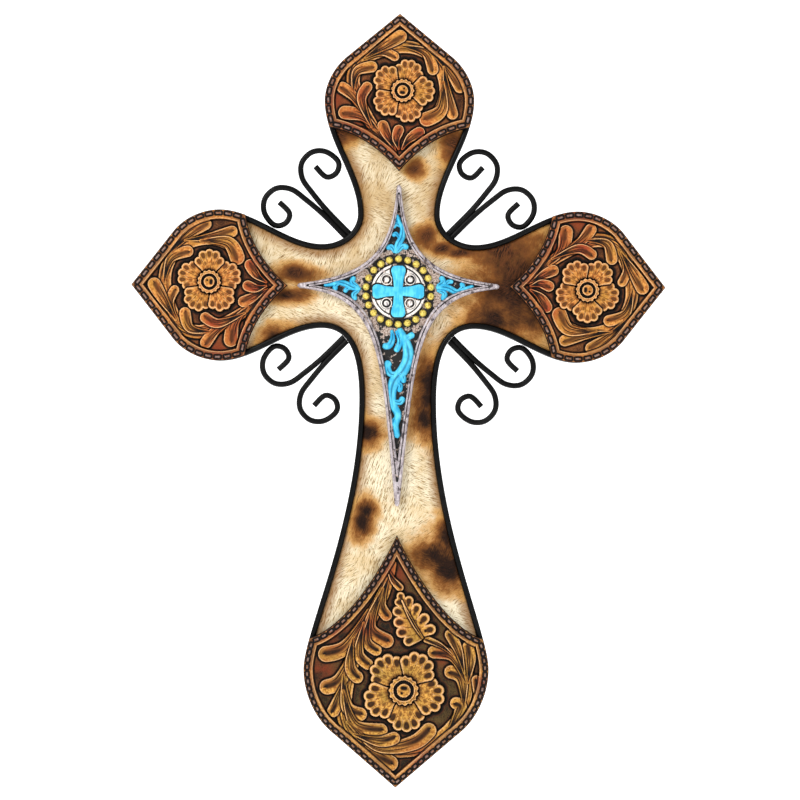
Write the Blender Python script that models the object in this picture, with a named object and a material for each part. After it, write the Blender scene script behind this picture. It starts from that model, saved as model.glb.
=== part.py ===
"""A wall cross to hang: a hide-covered cross with an iron edging, four carved leather tips, a pointed
silver star at its middle and a pair of scrolled iron wires in each of its four corners.

Everything is in metres. The cross stands in the XZ plane with its wall side at y = 0 and its front
towards -Y. The origin is the middle of the hanger's wall face, near the top. Outlines are worked
out in the plane of the cross as (across, up) from the middle of the cross, which lies HANG_HEIGHT
below the origin. An arm is drawn pointing up, as (across, out), and is then turned to its own side.
"""

import math

import bmesh
import bpy
from mathutils import Matrix, Vector

# Top arm: its reach, its widest half-width and where that is, its neck, and how far below its widest
# place its leather's corners and inner point lie
TOP_REACH = 0.1758
TOP_WIDE_HALF = 0.0483
TOP_WIDE_AT = 0.1195
TOP_NECK_HALF = 0.0265
TOP_NECK_AT = 0.0465
TOP_CORNER_UNDER = 0.0175
TOP_POINT_UNDER = 0.0451

# The hanger hangs a set way below the top, and so at this height above the middle of the cross
HANGER_UNDER_TOP = 0.0578
HANG_HEIGHT = TOP_REACH - HANGER_UNDER_TOP

# Side arms, left and right alike
SIDE_REACH = 0.1724
SIDE_WIDE_HALF = 0.0488
SIDE_WIDE_AT = 0.1155
SIDE_NECK_HALF = 0.0271
SIDE_NECK_AT = 0.0496
SIDE_CORNER_UNDER = 0.0170
SIDE_POINT_UNDER = 0.0438

# The foot, the long arm that points down
FOOT_REACH = 0.3238
FOOT_WIDE_HALF = 0.0598
FOOT_WIDE_AT = 0.2475
FOOT_NECK_HALF = 0.0249
FOOT_NECK_AT = 0.0737
FOOT_CORNER_UNDER = 0.0213
FOOT_POINT_UNDER = 0.0864

# How strongly the outline's curves pull along their ends, as shares of the stretch they cross
SHOULDER_ACROSS = 0.71
TOP_SHOULDER_OUT = 0.50
SIDE_SHOULDER_OUT = 0.525
FOOT_SHOULDER_OUT = 0.52
SHOULDER_PULL = 0.6
SMALL_NECK_PULL = 0.34
SMALL_WIDE_PULL = 0.34
FOOT_NECK_PULL = 0.454
FOOT_WIDE_PULL = 0.141
CROTCH_PULL = 0.55
FOOT_CROTCH_PULL = 0.80

# Depths from the wall
EDGING_DEPTH = 0.011
EDGING_WIDTH = 0.0034
EDGING_ROUND = 0.0012
PANEL_BACK = 0.0026
PANEL_FRONT = 0.0092
GAP = 0.0003

# Leather tips, over the edging and filled down to the hide inside it
TIP_BORDER = 0.0064
TIP_SLOPE = 0.0006
TIP_FIELD = 0.0014
TIP_RIM = 0.0030
STEM_RISE = 0.0012
LEAF_RISE = 0.0015
PETAL_RISE = 0.0022
RING_RISE = 0.0030
BUTTON_RISE = 0.0036
PAD_MARGIN = 0.001
CARVING_SINK = 0.0004
CARVING_TAPER = 0.72

# The star at the middle: the reach of its points from the middle of the cross
STAR_UP = 0.0653
STAR_SIDE = 0.0652
STAR_DOWN = 0.1422
STAR_RIM = 0.0032
STAR_THICK = 0.0056
STAR_FLOOR = 0.0022
STAR_SCROLL_RISE = 0.0024
STAR_TIP_HALF = 0.0009
# How the star's hollow sides curve: shares of its reaches for the upper and the lower side
STAR_PULL = 0.004
STAR_UPPER_RISE = 0.39
STAR_UPPER_SIDE = (0.245, 0.11)
STAR_LOWER_SIDE = (0.146, 0.046)
STAR_LOWER_FALL = (0.176, 0.323)
STAR_RIM_BOW = 0.4
STAR_EDGE_ROUND = 0.0006
STAR_SOLID_UP = 0.0095
STAR_SOLID_SIDE = 0.0112
STAR_SOLID_DOWN = 0.0300
BEAD_RING_RADIUS = 0.0211
BEAD_RING_DROP = 0.0036
BEAD_RADIUS = 0.00205
BEAD_COUNT = 22
BEAD_RISE_SHARE = 1.3
BEAD_TOP_SHARE = 0.6
DISC_RADIUS = 0.0177
DISC_RISE = 0.0030
CROSS_ARM = 0.0166
CROSS_END_HALF = 0.0047
CROSS_WAIST_HALF = 0.0029
CROSS_RISE = 0.0042
CROSS_CORNER_SHARE = 0.8
CROSS_FLAT_SHARE = 0.7
EYE_OFFSET = 0.0081
EYE_RADIUS = 0.0029
EYE_RISE = 0.0036

# Scrolled wires
WIRE_RADIUS = 0.00185

# Sawtooth hanger, with its two nails
HANGER_LENGTH = 0.044
HANGER_HEIGHT = 0.0085
HANGER_THICK = 0.0008
HANGER_TOOTH = 0.0016
HANGER_TEETH = 6
HANGER_FLAT = 0.026
HANGER_FOOT = 0.0055
NAIL_RADIUS = 0.0008
NAIL_HEAD_RADIUS = 0.0019
NAIL_HEAD_THICK = 0.0006
NAIL_LENGTH = 0.0050

# The tips that the carvings are drawn on, in millimetres: half-width, length to the apex and
# length to the inner point. A real tip stretches its carving to its own three lengths.
SMALL_DRAWING = (48.3, 56.4, 45.2)
FOOT_DRAWING = (59.8, 76.3, 86.4)

# Even steps along a stroke of three points, and how many fewer than its points a longer one has
STROKE_STEP_COUNT = 4
LONG_STROKE_SAVED_COUNT = 2
# How strongly a stroke's steps bunch towards its end
LEAF_BUNCH = 1.6
STEM_BUNCH = 1.2
# A leaf's width at its root, as a share of its widest, how far along it is full, and a stem's width
LEAF_ROOT = 0.35
LEAF_FULL_AT = 0.8
STEM_SHARE = 0.8

# Where the inner edge of a leather tip pulls from its corner and towards its inner point: shares of
# the corner's distance across and of the fall from corner to point
SMALL_POINT_NEAR = (0.69, 0.25)
FOOT_POINT_NEAR = (0.61, 0.09)
SMALL_POINT_FAR = (0.25, 0.38)
FOOT_POINT_FAR = (0.21, 0.38)

# A flower's shape as shares of its radius: between petals, between a petal's lobes, how much each
# lobe from the middle one falls back, the petals' crown, the ring and the button at its middle
PETAL_NOTCH = 0.5
LOBE_NOTCH = 0.86
LOBE_FALL = 0.03
FLOWER_CROWN = 0.93
FLOWER_RING = 0.34
FLOWER_BUTTON = 0.16

# Spacing that keeps the faces and points of overlapping carvings apart
FRONT_STEP = 0.00002
BACK_STEP = 0.00001
CORNER_ROOM = 0.004
POINT_WELD = 0.00001

# Each stroke of a carving: its widest width, then points along its middle from root to tip
SMALL_STEMS = (
    (6.0, (-4, -33), (-13, -22), (-21, -10), (-27.5, 3), (-30, 15), (-25, 26), (-14, 32), (0, 35),
     (12, 33.5), (22, 27), (27, 17), (28, 5), (25, -5), (19, -11), (11, -12.5)),
)
SMALL_LEAVES = (
    (6.5, (-3, -31), (-7.5, -22), (-11, -12.5)),
    (6.5, (-0.5, -31), (-1.5, -25), (1, -16)),
    (6.5, (2, -31), (6.5, -23.5), (15, -18.5)),
    (4.5, (-6, -30), (-14, -24.5), (-25, -18.8)),
    (8.0, (-14, -19), (-25, -10.5), (-40, -7.5)),
    (6.5, (-23, -7), (-31, 3), (-39.5, 10.5)),
    (5.5, (-29, 10), (-26.5, 19.5), (-16, 22)),
    (6.0, (-18, -15), (-24, 3), (-18.5, 12)),
    (5.5, (4, 34), (17.5, 26.5), (18, 17.5)),
    (7.0, (-22, 29), (-8, 37.5), (3.5, 43.5)),
    (6.5, (21, 29), (32, 19), (39, 8)),
    (6.5, (28.5, 20), (32, 4), (36, -12)),
)
SMALL_FLOWER = (2.0, 6.5, 21.0, 70.0)

FOOT_STEMS = (
    (7.5, (3, -68), (8, -50), (17, -32), (26, -12), (31, 8), (33, 26), (27, 41), (12, 50.5), (-6, 52.5),
     (-22, 48), (-35, 36), (-43, 20), (-46, 4), (-45.5, -13)),
)
FOOT_LEAVES = (
    (9.0, (19, -28), (33, -6), (50, 5)),
    (8.0, (12, -40), (30, -20), (49, -13)),
    (6.5, (30, -4), (40, 13), (49, 13)),
    (6.0, (33, 10), (38, 23), (42.5, 30)),
    (7.0, (30, 43), (13, 52.5), (1, 62)),
    (6.0, (5, -60), (9, -42), (4, -33)),
    (8.0, (9, -50), (16, -27), (5, -18)),
    (6.5, (23, -20), (26, -1), (18, 7)),
    (6.5, (32, 24), (26, 35), (16, 31)),
    (6.5, (20, 46), (8, 45), (1, 43)),
    (4.6, (-43, 26), (-39, 16.5), (-32.5, 19)),
    (6.5, (-44, 12), (-40, -1), (-31, 0)),
    (6.0, (-44, 2), (-36, -10), (-24, -12)),
    (6.0, (-42, -4), (-37, -14), (-34, -24)),
    (3.5, (-36, -10), (-27, -17), (-15, -22)),
)
FOOT_FLOWER = (-5.0, 13.5, 27.5, 95.0)
# The lobed leaf under the foot's flower: middle line, half-width and count of lobes along each side
FOOT_LOBED_LEAF = ((-14, -17), (-9, -32), (-3, -49))
LOBED_LEAF_HALF = 9.5
LOBED_LEAF_LOBE_COUNT = 3
LOBED_LEAF_FALL = 0.55
LOBE_SWELLS = (0.72, 0.95, 1.0, 0.95)

# Strokes of the star's scrollwork, in millimetres from the middle of the cross: widest width, points.
# They are drawn on a star that reaches this far up, sideways and down.
STAR_DRAWING = (65.3, 65.2, 142.2)
STAR_STROKES = (
    (4.6, (-2, 20.8), (0.5, 28), (2.8, 35), (-0.5, 41), (-1.2, 47)),
    (2.6, (1.5, 33), (-1.5, 36.5), (-4.5, 38)),
    (3.2, (-2.5, 21.5), (-5, 26), (-8, 25.5)),
    (3.2, (-1.5, 21.5), (3, 26), (7, 25)),
    (4.2, (-25, -2), (-33, -1), (-39, 2.5), (-48.5, 0)),
    (2.6, (-25.5, -1), (-29.5, 3), (-27.8, 7)),
    (2.6, (-25.5, -3), (-28.5, -6), (-26.5, -10.5)),
    (4.2, (24, -1), (32, -1.5), (39, 0.5), (48.5, 0)),
    (2.6, (24.5, 0), (28.5, 3), (26.6, 7)),
    (2.6, (24.5, -2), (30, -6), (27, -9.5)),
    (6.8, (0, -27.5), (5, -38), (6.5, -47), (1, -56), (-3.5, -65), (-3, -75), (0.5, -83), (-2.2, -91),
     (0, -98)),
    (3.6, (-4, -28), (-4.5, -37), (-11.5, -39)),
    (3.6, (-1, -29), (1.5, -39), (-2, -42.3)),
    (3.6, (1, -29), (6, -33), (11.3, -31)),
    (4.0, (-2, -57), (-7.5, -53.5), (-5.5, -48)),
    (3.4, (-3, -69), (1.5, -72), (5, -71)),
)

# One scrolled wire, from its foot in the corner between the top and right arms to its curled end,
# in millimetres from the middle of the cross. Its twin is mirrored about the corner's diagonal.
WIRE_PATH = (
    (33.6, 35.9), (46.0, 48.4), (56.3, 60.6), (62.8, 70.0), (63.2, 79.8), (56.6, 86.9), (47.4, 87.2),
    (39.5, 80.8), (40.6, 73.6), (47.2, 70.9), (54.3, 77.6),
)
WIRE_RING_COUNT = 13
WIRE_BUNCH = 1.3

UP, RIGHT, DOWN, LEFT = range(4)
MILLIMETRE = 0.001


def bezier(start, pull, push, end, count):
    """Points along a cubic curve, with its start and without its end."""
    points = []
    for step in range(count):
        t = step / count
        u = 1 - t
        weights = (u**3, 3 * u * u * t, 3 * u * t * t, t**3)
        points.append(tuple(
            sum(w * p[axis] for w, p in zip(weights, (start, pull, push, end))) for axis in (0, 1)
        ))
    return points


def spline(points, count, bunch=1.0):
    """A smooth path of `count` steps through the points, even ones or bunched towards its end."""
    ends = [points[0], *points, points[-1]]
    fine = []
    for a, b, c, d in zip(ends, ends[1:], ends[2:], ends[3:]):
        for step in range(12):
            t = step / 12
            fine.append(tuple(
                0.5 * (2 * q + (r - p) * t + (2 * p - 5 * q + 4 * r - s) * t * t
                       + (3 * q - p - 3 * r + s) * t**3)
                for p, q, r, s in zip(a, b, c, d)
            ))
    fine.append(tuple(points[-1]))
    lengths = [0.0]
    for a, b in zip(fine, fine[1:]):
        lengths.append(lengths[-1] + math.dist(a, b))
    path = []
    at = 0
    for step in range(count + 1):
        wanted = lengths[-1] * (1 - (1 - step / count) ** bunch)
        while at < len(fine) - 2 and lengths[at + 1] < wanted:
            at += 1
        share = (wanted - lengths[at]) / (lengths[at + 1] - lengths[at])
        path.append(tuple(a + (b - a) * share for a, b in zip(fine[at], fine[at + 1])))
    return path


def inset(outline, distance):
    """The outline moved inwards by an even distance, for an outline that runs clockwise."""
    moved = []
    for before, here, after in zip(outline[-1:] + outline[:-1], outline, outline[1:] + outline[:1]):
        first = (Vector(here) - Vector(before)).normalized()
        second = (Vector(after) - Vector(here)).normalized()
        inward = Vector((first.y + second.y, -first.x - second.x)).normalized()
        stretch = max(0.3, inward.dot(Vector((first.y, -first.x))))
        moved.append(tuple(Vector(here) + inward * (distance / stretch)))
    return moved


class Arm:
    """One arm of the cross, drawn pointing up, with the right side of its outline."""

    def __init__(self, turn, reach, wide, wide_at, neck, neck_at, corner_under, point_under, out, pulls,
                 small):
        self.turn = turn
        self.reach = reach
        self.wide = wide
        self.wide_at = wide_at
        self.neck = (neck, neck_at)
        self.corner_at = wide_at - corner_under
        self.point_at = wide_at - point_under
        self.small = small
        self.drawing = SMALL_DRAWING if small else FOOT_DRAWING
        span = wide_at - neck_at
        self.side_curve = (
            (neck, neck_at), (neck, neck_at + pulls[0] * span),
            (wide, wide_at - pulls[1] * span), (wide, wide_at),
        )
        shoulder = (SHOULDER_ACROSS * wide, wide_at + out * (reach - wide_at))
        slope = (reach - shoulder[1]) / shoulder[0]
        meeting = reach - slope * wide
        self.shoulder_curve = (
            (wide, wide_at),
            (wide, wide_at + SHOULDER_PULL * (meeting - wide_at)),
            tuple(s + SHOULDER_PULL * (m - s) for s, m in zip(shoulder, (wide, meeting))),
            shoulder,
        )

    def side(self):
        """The right side from the neck, past the leather's corner, to where the run to the apex begins."""
        fine = bezier(*self.side_curve, 200)
        corner = next(p for p in fine if p[1] >= self.corner_at)
        steps = bezier(*self.side_curve, 4 if self.small else 5)
        kept = [p for p in steps if abs(p[1] - corner[1]) > CORNER_ROOM] + [corner]
        return sorted(kept, key=lambda p: p[1]) + bezier(*self.shoulder_curve, 3) + [self.shoulder_curve[3]]

    def tip_side(self):
        """The right side of the leather tip, from its corner to the shoulder."""
        return [p for p in self.side() if p[1] >= self.corner_at]

    def both_sides(self, right):
        """Clockwise from the left neck over the apex to the right neck."""
        return [(-a, d) for a, d in right] + [(0.0, self.reach)] + right[::-1]

    def tip_outline(self):
        right = self.tip_side()
        corner = right[0]
        point = (0.0, self.point_at)
        fall = corner[1] - self.point_at
        near = SMALL_POINT_NEAR if self.small else FOOT_POINT_NEAR
        far = SMALL_POINT_FAR if self.small else FOOT_POINT_FAR
        pull = (corner[0] * near[0], corner[1] - fall * near[1])
        push = (corner[0] * far[0], point[1] + fall * far[1])
        inner = bezier(corner, pull, push, point, 5)[1:]
        return self.both_sides(right) + inner + [point] + [(-a, d) for a, d in inner[::-1]]

    def on_tip(self, a, b):
        """A drawn point of the carving, in millimetres, placed on this tip."""
        half, ahead, behind = self.drawing
        stretch = (self.reach - self.wide_at) / ahead
        if b < 0:
            stretch = (self.wide_at - self.point_at) / behind
        return (a * self.wide / half, self.wide_at + b * stretch)

    def drawn_millimetre(self):
        """The length on this tip of a millimetre of its drawing, by the tip's least stretched way."""
        half, ahead, behind = self.drawing
        return min(
            self.wide / half,
            (self.reach - self.wide_at) / ahead,
            (self.wide_at - self.point_at) / behind,
        )


ARMS = (
    Arm(UP, TOP_REACH, TOP_WIDE_HALF, TOP_WIDE_AT, TOP_NECK_HALF, TOP_NECK_AT, TOP_CORNER_UNDER,
        TOP_POINT_UNDER, TOP_SHOULDER_OUT, (SMALL_NECK_PULL, SMALL_WIDE_PULL), True),
    Arm(RIGHT, SIDE_REACH, SIDE_WIDE_HALF, SIDE_WIDE_AT, SIDE_NECK_HALF, SIDE_NECK_AT,
        SIDE_CORNER_UNDER, SIDE_POINT_UNDER, SIDE_SHOULDER_OUT, (SMALL_NECK_PULL, SMALL_WIDE_PULL), True),
    Arm(DOWN, FOOT_REACH, FOOT_WIDE_HALF, FOOT_WIDE_AT, FOOT_NECK_HALF, FOOT_NECK_AT,
        FOOT_CORNER_UNDER, FOOT_POINT_UNDER, FOOT_SHOULDER_OUT, (FOOT_NECK_PULL, FOOT_WIDE_PULL), False),
    Arm(LEFT, SIDE_REACH, SIDE_WIDE_HALF, SIDE_WIDE_AT, SIDE_NECK_HALF, SIDE_NECK_AT,
        SIDE_CORNER_UNDER, SIDE_POINT_UNDER, SIDE_SHOULDER_OUT, (SMALL_NECK_PULL, SMALL_WIDE_PULL), True),
)


def turned(point, quarter_turns):
    """A point of an arm drawn pointing up, on the arm that it belongs to."""
    a, d = point
    return ((a, d), (d, -a), (-a, -d), (-d, a))[quarter_turns]


def cross_outline():
    """The whole outline of the cross, clockwise from the left neck of the top arm."""
    outline = []
    for arm, following in zip(ARMS, ARMS[1:] + ARMS[:1]):
        outline += [turned(p, arm.turn) for p in arm.both_sides(arm.side())]
        start = turned(arm.neck, arm.turn)
        end = turned((-following.neck[0], following.neck[1]), following.turn)
        start_pull = CROTCH_PULL if arm.small else FOOT_CROTCH_PULL
        end_pull = CROTCH_PULL if following.small else FOOT_CROTCH_PULL
        if arm.turn in (UP, DOWN):
            pull = (start[0], start[1] + start_pull * (end[1] - start[1]))
            push = (end[0] + end_pull * (start[0] - end[0]), end[1])
        else:
            pull = (start[0] + start_pull * (end[0] - start[0]), start[1])
            push = (end[0], end[1] + end_pull * (start[1] - end[1]))
        outline += bezier(start, pull, push, end, 5)[1:]
    return outline


def colour(name, rgb, roughness, metallic=0.0):
    material = bpy.data.materials.new(name)
    material.use_nodes = True
    shader = material.node_tree.nodes["Principled BSDF"]
    shader.inputs["Base Color"].default_value = (*rgb, 1.0)
    shader.inputs["Roughness"].default_value = roughness
    shader.inputs["Metallic"].default_value = metallic
    return material


def add_prism(bm, outline, back, front, top=None):
    """A closed block between two depths from the wall, with another outline at its front if given."""
    base = [bm.verts.new((x, -back, z)) for x, z in outline]
    face = bm.faces.new(base)
    places = {vert: index for index, vert in enumerate(base)}
    made = bmesh.ops.extrude_face_region(bm, geom=[face])
    fronts = [item for item in made["geom"] if isinstance(item, bmesh.types.BMVert)]
    target = top or outline
    for vert in fronts:
        nearest = min(places, key=lambda other: (other.co - vert.co).length_squared)
        x, z = target[places[nearest]]
        vert.co = (x, -front, z)
    return base, fronts


def finish_mesh(bm, name):
    bmesh.ops.recalc_face_normals(bm, faces=bm.faces[:])
    mesh = bpy.data.meshes.new(name)
    bm.to_mesh(mesh)
    bm.free()
    return mesh


def place(mesh, collection, material):
    """The object of a finished mesh, moved from the middle of the cross to its place."""
    mesh.materials.append(material)
    obj = bpy.data.objects.new(mesh.name, mesh)
    obj.location = (0.0, 0.0, -HANG_HEIGHT)
    collection.objects.link(obj)
    return obj


def loft_rings(rings):
    """A closed ring-shaped body whose section runs through the rings in turn and back to the first."""
    bm = bmesh.new()
    loops = [[bm.verts.new((x, -depth, z)) for x, z in outline] for depth, outline in rings]
    for first, second in zip(loops, loops[1:] + loops[:1]):
        for a, b, c, d in zip(first, first[1:] + first[:1], second[1:] + second[:1], second):
            bm.faces.new((a, b, c, d))
    return bm


def stroke_outline(points, width, round_end):
    """The outline of a carved stroke: narrow at its root, widest near its end, and round there."""
    count = STROKE_STEP_COUNT if len(points) == 3 else len(points) - LONG_STROKE_SAVED_COUNT
    bunch = LEAF_BUNCH if round_end else STEM_BUNCH
    path = spline(points, count, bunch)
    left = []
    right = []
    for step, here in enumerate(path[:-1]):
        ahead = Vector(path[step + 1])
        behind = Vector(path[max(step - 1, 0)])
        along = (ahead - behind).normalized()
        share = 1 - (1 - step / count) ** bunch
        swell = STEM_SHARE
        if round_end:
            fullness = math.sin(math.pi / 2 * min(1.0, share / LEAF_FULL_AT))
            swell = LEAF_ROOT + (1 - LEAF_ROOT) * fullness
        across = Vector((along.y, -along.x)) * (width * swell / 2)
        left.append(tuple(Vector(here) - across))
        right.append(tuple(Vector(here) + across))
    return left + [path[-1]] + right[::-1]


def tapered(outline, share):
    """The outline drawn in towards its own spine, for a stroke's front."""
    half = len(outline) // 2
    drawn = []
    for index, here in enumerate(outline):
        opposite = outline[len(outline) - 1 - index]
        if index == half:
            opposite = tuple((a + b) / 2 for a, b in zip(outline[half - 1], outline[half + 1]))
        middle = tuple((a + b) / 2 for a, b in zip(here, opposite))
        drawn.append(tuple(m + (h - m) * share for m, h in zip(middle, here)))
    return drawn


def flower_outline(x, z, radius, angle):
    """Five petals of five lobes each, running clockwise."""
    outline = []
    for petal in range(5):
        middle = math.radians(angle - 72 * petal)
        for step in range(10):
            turn = math.radians(-36 + 7.2 * step)
            reach = LOBE_NOTCH
            if step == 0:
                reach = PETAL_NOTCH
            elif step % 2:
                reach = 1.0 - LOBE_FALL * abs(step - 5)
            outline.append((
                x + radius * reach * math.cos(middle - turn),
                z + radius * reach * math.sin(middle - turn),
            ))
    return outline


def ring_outline(x, z, radius, count):
    """A regular outline of `count` points round a middle, running clockwise."""
    turns = [math.tau * step / count for step in range(count)]
    return [(x + radius * math.cos(turn), z - radius * math.sin(turn)) for turn in turns]


def lobed_leaf_outline():
    """A leaf with rounded lobes down both its sides."""
    steps = 4 * LOBED_LEAF_LOBE_COUNT
    path = spline(FOOT_LOBED_LEAF, steps)
    left = []
    right = []
    for step in range(steps):
        along = (Vector(path[step + 1]) - Vector(path[max(step - 1, 0)])).normalized()
        share = step / steps
        swell = (1.0 - LOBED_LEAF_FALL * share) * LOBE_SWELLS[step % 4]
        across = Vector((along.y, -along.x)) * (LOBED_LEAF_HALF * swell)
        left.append(tuple(Vector(path[step]) - across))
        right.append(tuple(Vector(path[step]) + across))
    return left + [path[-1]] + right[::-1]


def join(obj, mesh, operation, cutters):
    """Adds a Boolean that stays on the object, with its other shape among the cutters."""
    cutter = bpy.data.objects.new(mesh.name, mesh)
    cutters.objects.link(cutter)
    cutter.hide_render = True
    cutter.display_type = "WIRE"
    cutter.location = (0.0, 0.0, -HANG_HEIGHT)
    boolean = obj.modifiers.new(cutter.name, "BOOLEAN")
    boolean.operation = operation
    boolean.solver = "EXACT"
    boolean.use_self = operation == "UNION"
    boolean.object = cutter


def make_edging(collection, material):
    """The iron strip on edge round the whole cross, with a ridge along its front."""
    outline = cross_outline()
    bm = loft_rings((
        (0.0, outline),
        (EDGING_DEPTH - EDGING_ROUND, outline),
        (EDGING_DEPTH, inset(outline, EDGING_WIDTH / 2)),
        (EDGING_DEPTH - EDGING_ROUND, inset(outline, EDGING_WIDTH)),
        (0.0, inset(outline, EDGING_WIDTH)),
    ))
    place(finish_mesh(bm, "edging"), collection, material)


def make_panel(collection, cutters, material):
    """The hide-covered board inside the edging, with a hole for each of the hanger's nails."""
    bm = bmesh.new()
    add_prism(bm, inset(cross_outline(), EDGING_WIDTH + GAP), PANEL_BACK, PANEL_FRONT)
    panel = place(finish_mesh(bm, "hide_panel"), collection, material)
    holes = bmesh.new()
    for side in (-1, 1):
        ring = ring_outline(side * nail_across(), HANG_HEIGHT, NAIL_RADIUS + GAP, 8)
        add_prism(holes, ring, PANEL_BACK - GAP, PANEL_BACK + NAIL_LENGTH)
    join(panel, finish_mesh(holes, "nail_holes"), "DIFFERENCE", cutters)


def make_tip(name, arm, collection, cutters, material):
    """A leather tip: rim, sunk field, and a carving of a flower within stems and leaves."""
    outline = [turned(p, arm.turn) for p in arm.tip_outline()]
    back = EDGING_DEPTH + GAP
    field = back + TIP_FIELD
    rim = back + TIP_RIM
    bm = bmesh.new()
    base = [bm.verts.new((x, -back, z)) for x, z in outline]
    bm.faces.new(base)
    made = bmesh.ops.extrude_face_region(bm, geom=bm.faces[:])
    verts = [item for item in made["geom"] if isinstance(item, bmesh.types.BMVert)]
    bmesh.ops.translate(bm, verts=verts, vec=(0.0, -TIP_RIM, 0.0))
    front = [face for face in bm.faces if all(vert.co.y < -rim + GAP for vert in face.verts)]
    bmesh.ops.recalc_face_normals(bm, faces=bm.faces[:])
    bmesh.ops.inset_region(bm, faces=front, thickness=TIP_BORDER, use_even_offset=True)
    bmesh.ops.inset_region(bm, faces=front, thickness=TIP_SLOPE, use_even_offset=True)
    bmesh.ops.translate(bm, verts=front[0].verts[:], vec=(0.0, TIP_RIM - TIP_FIELD, 0.0))
    tip = place(finish_mesh(bm, name), collection, material)

    pad = bmesh.new()
    add_prism(pad, inset(outline, EDGING_WIDTH + PAD_MARGIN)[::2], PANEL_FRONT + GAP, back + CARVING_SINK)
    join(tip, finish_mesh(pad, name + "_pad"), "UNION", cutters)

    carving = bmesh.new()
    stems, leaves, flower = (
        (SMALL_STEMS, SMALL_LEAVES, SMALL_FLOWER) if arm.small else (FOOT_STEMS, FOOT_LEAVES, FOOT_FLOWER)
    )
    low = field - CARVING_SINK
    strokes = [(stroke_outline(points, width, False), STEM_RISE) for width, *points in stems]
    strokes += [(stroke_outline(points, width, True), LEAF_RISE) for width, *points in leaves]
    if not arm.small:
        strokes.append((lobed_leaf_outline(), LEAF_RISE))
    for number, (shape, rise) in enumerate(strokes):
        # No two strokes end at quite the same depth, so that none shares a face with another
        lift = field + rise + FRONT_STEP * number
        placed = [turned(arm.on_tip(*p), arm.turn) for p in shape]
        add_prism(carving, placed, low - BACK_STEP * number, lift, tapered(placed, CARVING_TAPER))
    x, z, radius, angle = flower
    centre = turned(arm.on_tip(x, z), arm.turn)
    radius *= arm.drawn_millimetre()
    angle -= 90 * arm.turn
    petals = flower_outline(*centre, radius, angle)
    crown = flower_outline(*centre, radius * FLOWER_CROWN, angle)
    add_prism(carving, petals, low, field + PETAL_RISE, crown)
    add_prism(carving, ring_outline(*centre, radius * FLOWER_RING, 10), low, field + RING_RISE)
    add_prism(carving, ring_outline(*centre, radius * FLOWER_BUTTON, 5), low, field + BUTTON_RISE)
    join(tip, finish_mesh(carving, name + "_carving"), "UNION", cutters)


def star_outline(up, side, down, tip, rim):
    """Four points with hollow sides, the lowest one long, running clockwise from the top."""
    bow = STAR_RIM_BOW * rim
    upper = (
        (tip, up),
        (STAR_PULL - bow, STAR_UP * STAR_UPPER_RISE - bow),
        (STAR_SIDE * STAR_UPPER_SIDE[0] - bow, STAR_UP * STAR_UPPER_SIDE[1] - bow),
        (side, tip),
    )
    lower = (
        (side, -tip),
        (STAR_SIDE * STAR_LOWER_SIDE[0] - bow, bow - STAR_DOWN * STAR_LOWER_SIDE[1]),
        (STAR_SIDE * STAR_LOWER_FALL[0] - bow, bow - STAR_DOWN * STAR_LOWER_FALL[1]),
        (tip, -down),
    )
    right = bezier(*upper, 7) + ([upper[3]] if tip else []) + bezier(*lower, 8) + [lower[3]]
    return right + [(-x, z) for x, z in right[::-1] if x > 0.0]


def on_star(a, b):
    """A drawn point of the scrollwork, in millimetres, placed on the star."""
    up, side, down = STAR_DRAWING
    return (a * STAR_SIDE / side, b * (STAR_UP / up if b > 0 else STAR_DOWN / down))


def cross_pattee(x, z):
    """A cross whose arms widen towards their ends, running clockwise."""
    corner = CROSS_ARM * CROSS_CORNER_SHARE
    flat = CROSS_END_HALF * CROSS_FLAT_SHARE
    arm = (
        (-CROSS_WAIST_HALF, CROSS_WAIST_HALF), (-CROSS_END_HALF, corner), (-flat, CROSS_ARM),
        (flat, CROSS_ARM), (CROSS_END_HALF, corner),
    )
    outline = []
    for turn in range(4):
        for a, d in arm:
            across, up = turned((a, d), turn)
            outline.append((x + across, z + up))
    return outline


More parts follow.
